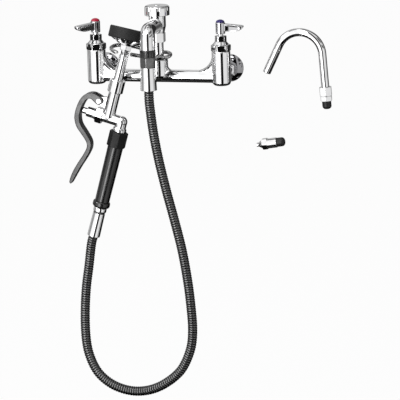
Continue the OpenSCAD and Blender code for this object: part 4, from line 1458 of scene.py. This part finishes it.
@dataclass
class SprayValve:
    """Cast valve body, its bonnet, plunger and squeeze lever."""

    grid: float = 0.5 * MM
    body_passes: int = 8
    lever_passes: int = 14

    def build(self) -> None:
        """Runs out the castings, grows the spring and dresses the rest."""
        Casting("valve_body", "sprayer", CAST_CHROME, self.grid, self.body_passes).build()
        Casting("spray_lever", "spray_lever", LEVER_COAT, self.grid, self.lever_passes).build()
        dress(TURNED_CHROME, "valve_bonnet", "plunger", "lever_pin")
        dress(SEAL, "seat_washer")
        ReturnSpring().build()


@dataclass
class SprayHead:
    """Wand, union nut, dish, spray plate and bumper."""

    rim_radius: float = 1.55 * MM
    rim_steps: int = 18
    rim_wire: float = 0.45 * MM
    rim_sides: int = 6
    plate_height: float = 131.7 * MM
    rings: tuple[tuple[int, float], ...] = ((12, 15.1 * MM), (6, 8.5 * MM))

    def jets(self) -> None:
        """Rolled rims round the jets of the spray plate."""
        plate = HANG.head() @ Matrix.Translation((0.0, 0.0, self.plate_height))
        for number, (count, radius) in enumerate(self.rings):
            name = f"jet_rims_{number}"
            tree = Growth(name, {
                "Jets": count, "Ring Radius": radius, "Rim Radius": self.rim_radius,
                "Rim Steps": self.rim_steps, "Rim Wire": self.rim_wire, "Rim Sides": self.rim_sides,
            })
            sockets = {"Vertices": tree["Jets"], "Radius": tree["Ring Radius"]}
            places = tree.add("GeometryNodeMeshCircle", None, sockets)[0]
            wire = tree.ring(tree["Rim Sides"], tree["Rim Wire"])
            rim = tree.sweep(tree.ring(tree["Rim Steps"], tree["Rim Radius"]), wire)
            tree.close(tree.add("GeometryNodeInstanceOnPoints", None, {"Points": places, "Instance": rim})[0])
            mesh = tree.grow(empty_mesh("jet_base"), SPRAY_PLATE)
            mesh.transform(plate)
            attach(piece(name, mesh, SPRAY_PLATE), "sprayer")

    def build(self) -> None:
        """Dresses the head's parts and adds the jets' rims."""
        dress(TURNED_CHROME, "union_nut", "face_screw", "spray_dish")
        dress(TUBE_CHROME, "wand")
        dress(SPRAY_PLATE, "spray_face")
        dress(BUMPER_RUBBER, "bumper")
        self.jets()


# ---------------------------------------------------------------- hook and loose fittings


@dataclass
class WireHook:
    """Bent wire that grips the riser and holds the wand in its fork."""

    wire: float = 3.0 * MM
    sides: int = 16
    rings: int = 260
    eye_centre: Point = (7.3 * MM, -55.0 * MM, 27.97 * MM)
    eye_radius: float = 11.85 * MM
    eye_arc: range = range(270, 451, 18)
    eye_tip: float = math.radians(13.0)
    fork_centre: Point = (-42.5 * MM, -88.0 * MM, 41.1 * MM)
    fork_radius: float = 24.0 * MM
    fork_arc: range = range(95, 246, 15)
    fork_tip: float = math.radians(6.0)
    fork_roll: float = math.radians(10.0)
    front: tuple[Point, ...] = (
        (-30.5, -105.5, 36.8), (-26, -100.6, 35), (-20, -93.5, 32.6), (-12, -82, 28.8), (-4, -72, 26),
    )
    rear: tuple[Point, ...] = ((-8, -43.8, 31.5), (-20, -48.5, 34.5), (-30, -57, 39.4))
    tip: Point = (-52, -109.6, 39.6)

    @staticmethod
    def arc(centre: Point, radius: float, angles: range, tip: float, roll: float = 0.0) -> list[Vector]:
        """Part of a level circle that is tipped forward and then rolled sideways.

        Args:
            centre: the circle's centre.
            radius: its radius.
            angles: where its points lie, in degrees.
            tip: how far it is tipped.
            roll: how far it is rolled.

        Returns:
            The points.
        """
        points = []
        for turn in map(math.radians, angles):
            ahead = math.sin(turn)
            spoke = radius * Vector((math.cos(turn), ahead * math.cos(tip), ahead * math.sin(tip)))
            points.append(Vector(centre) + Matrix.Rotation(roll, 3, "Y") @ spoke)
        return points

    def route(self) -> list[Vector]:
        """The wire's centre line from the mouth round the riser and the fork.

        Returns:
            Its points.
        """
        eye = self.arc(self.eye_centre, self.eye_radius, self.eye_arc, self.eye_tip)
        fork = self.arc(self.fork_centre, self.fork_radius, self.fork_arc, self.fork_tip, self.fork_roll)
        bends = [*in_metres(self.front), *eye, *in_metres(self.rear), *fork, *in_metres((self.tip,))]
        return smooth_path([2 * bends[0] - bends[1], *bends, 2 * bends[-1] - bends[-2]])

    def build(self) -> None:
        """Grows the wire along its route."""
        tree = Growth("hook_wire", {"Wire Radius": self.wire, "Sides": self.sides, "Rings": self.rings})
        circle = tree.ring(tree["Sides"], tree["Wire Radius"])
        tree.close(tree.sweep(tree.route(tree["Rings"]), circle, caps=True))
        hook = piece("wire_hook", tree.grow(curve_through("hook_route", self.route()), WIRE), WIRE)
        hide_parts("hook")
        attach(hook, "faucet")


@dataclass
class Gooseneck:
    """Bent tube of the spare spout: a leaning leg, an arch and a straight end."""

    foot: Point = (262.0 * MM, -30.0 * MM, -27.0 * MM)
    lean: float = math.radians(4.0)
    leg: float = 56.5 * MM
    bend: float = 36.0 * MM
    turn: float = math.radians(150.0)
    spout: float = 49.0 * MM
    radius: float = 6.35 * MM
    wall: float = 1.2 * MM
    sides: int = 40
    rings: int = 150
    arch_steps: int = 40

    def route(self) -> list[Vector]:
        """The tube's centre line from its foot to the end of the spout.

        Returns:
            Its points.
        """
        line = [Vector((0.0, 0.0, 0.0))]
        for step in range(self.arch_steps + 1):
            t = self.turn * step / self.arch_steps
            line.append(Vector((self.bend * (math.cos(t) - 1), 0.0, self.leg + self.bend * math.sin(t))))
        line.append(line[-1] + self.spout * Vector((-math.sin(self.turn), 0.0, math.cos(self.turn))))
        place = Matrix.Translation(self.foot) @ Matrix.Rotation(-self.lean, 4, "Y")
        return [place @ point for point in line]

    def build(self) -> None:
        """Grows the tube's two walls along its centre line and joins them at the ends."""
        tree = Growth("gooseneck_tube", {
            "Radius": self.radius, "Wall": self.wall, "Sides": self.sides, "Rings": self.rings,
        })
        path = tree.route(tree["Rings"])
        outer, bore = (tree.sweep(path, tree.ring(tree["Sides"], radius))
                       for radius in (tree["Radius"], tree["Radius"] - tree["Wall"]))
        tree.close(outer, bore)
        mesh = tree.grow(curve_through("gooseneck_route", self.route()), TUBE_CHROME)
        close_ends(mesh)
        tube = piece("gooseneck_tube", mesh, TUBE_CHROME)
        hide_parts("gooseneck")
        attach(tube, "faucet")


@dataclass
class LooseFittings:
    """Gooseneck and jet nozzle that stand beside the faucet, with their thread caps."""

    tightened: float = math.radians(9.0)

    def build(self) -> None:
        """Makes the gooseneck, turns its hexagons and dresses the rest."""
        neck = Gooseneck()
        neck.build()
        for node in ("gooseneck_nut", "gooseneck_adapter"):
            Hexagon(node, TURNED_CHROME, neck.foot[:2], self.tightened).build()
        dress(TURNED_CHROME, "jet_nozzle")
        dress(CAP_RUBBER, "thread_caps")


def main() -> None:
    """Builds the scene, camera and hose first."""
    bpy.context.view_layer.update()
    Studio().build()
    SprayHose().build()
    MixingBody().build()
    Valve(Side.HOT, HOT_ENAMEL).build()
    Valve(Side.COLD, COLD_ENAMEL).build()
    RiserColumn().build()
    Outlet().build()
    Grip().build()
    SprayValve().build()
    SprayHead().build()
    WireHook().build()
    LooseFittings().build()


if __name__ == "__main__":
    logging.basicConfig(level=logging.INFO, format="%(name)s: %(message)s")
    main()
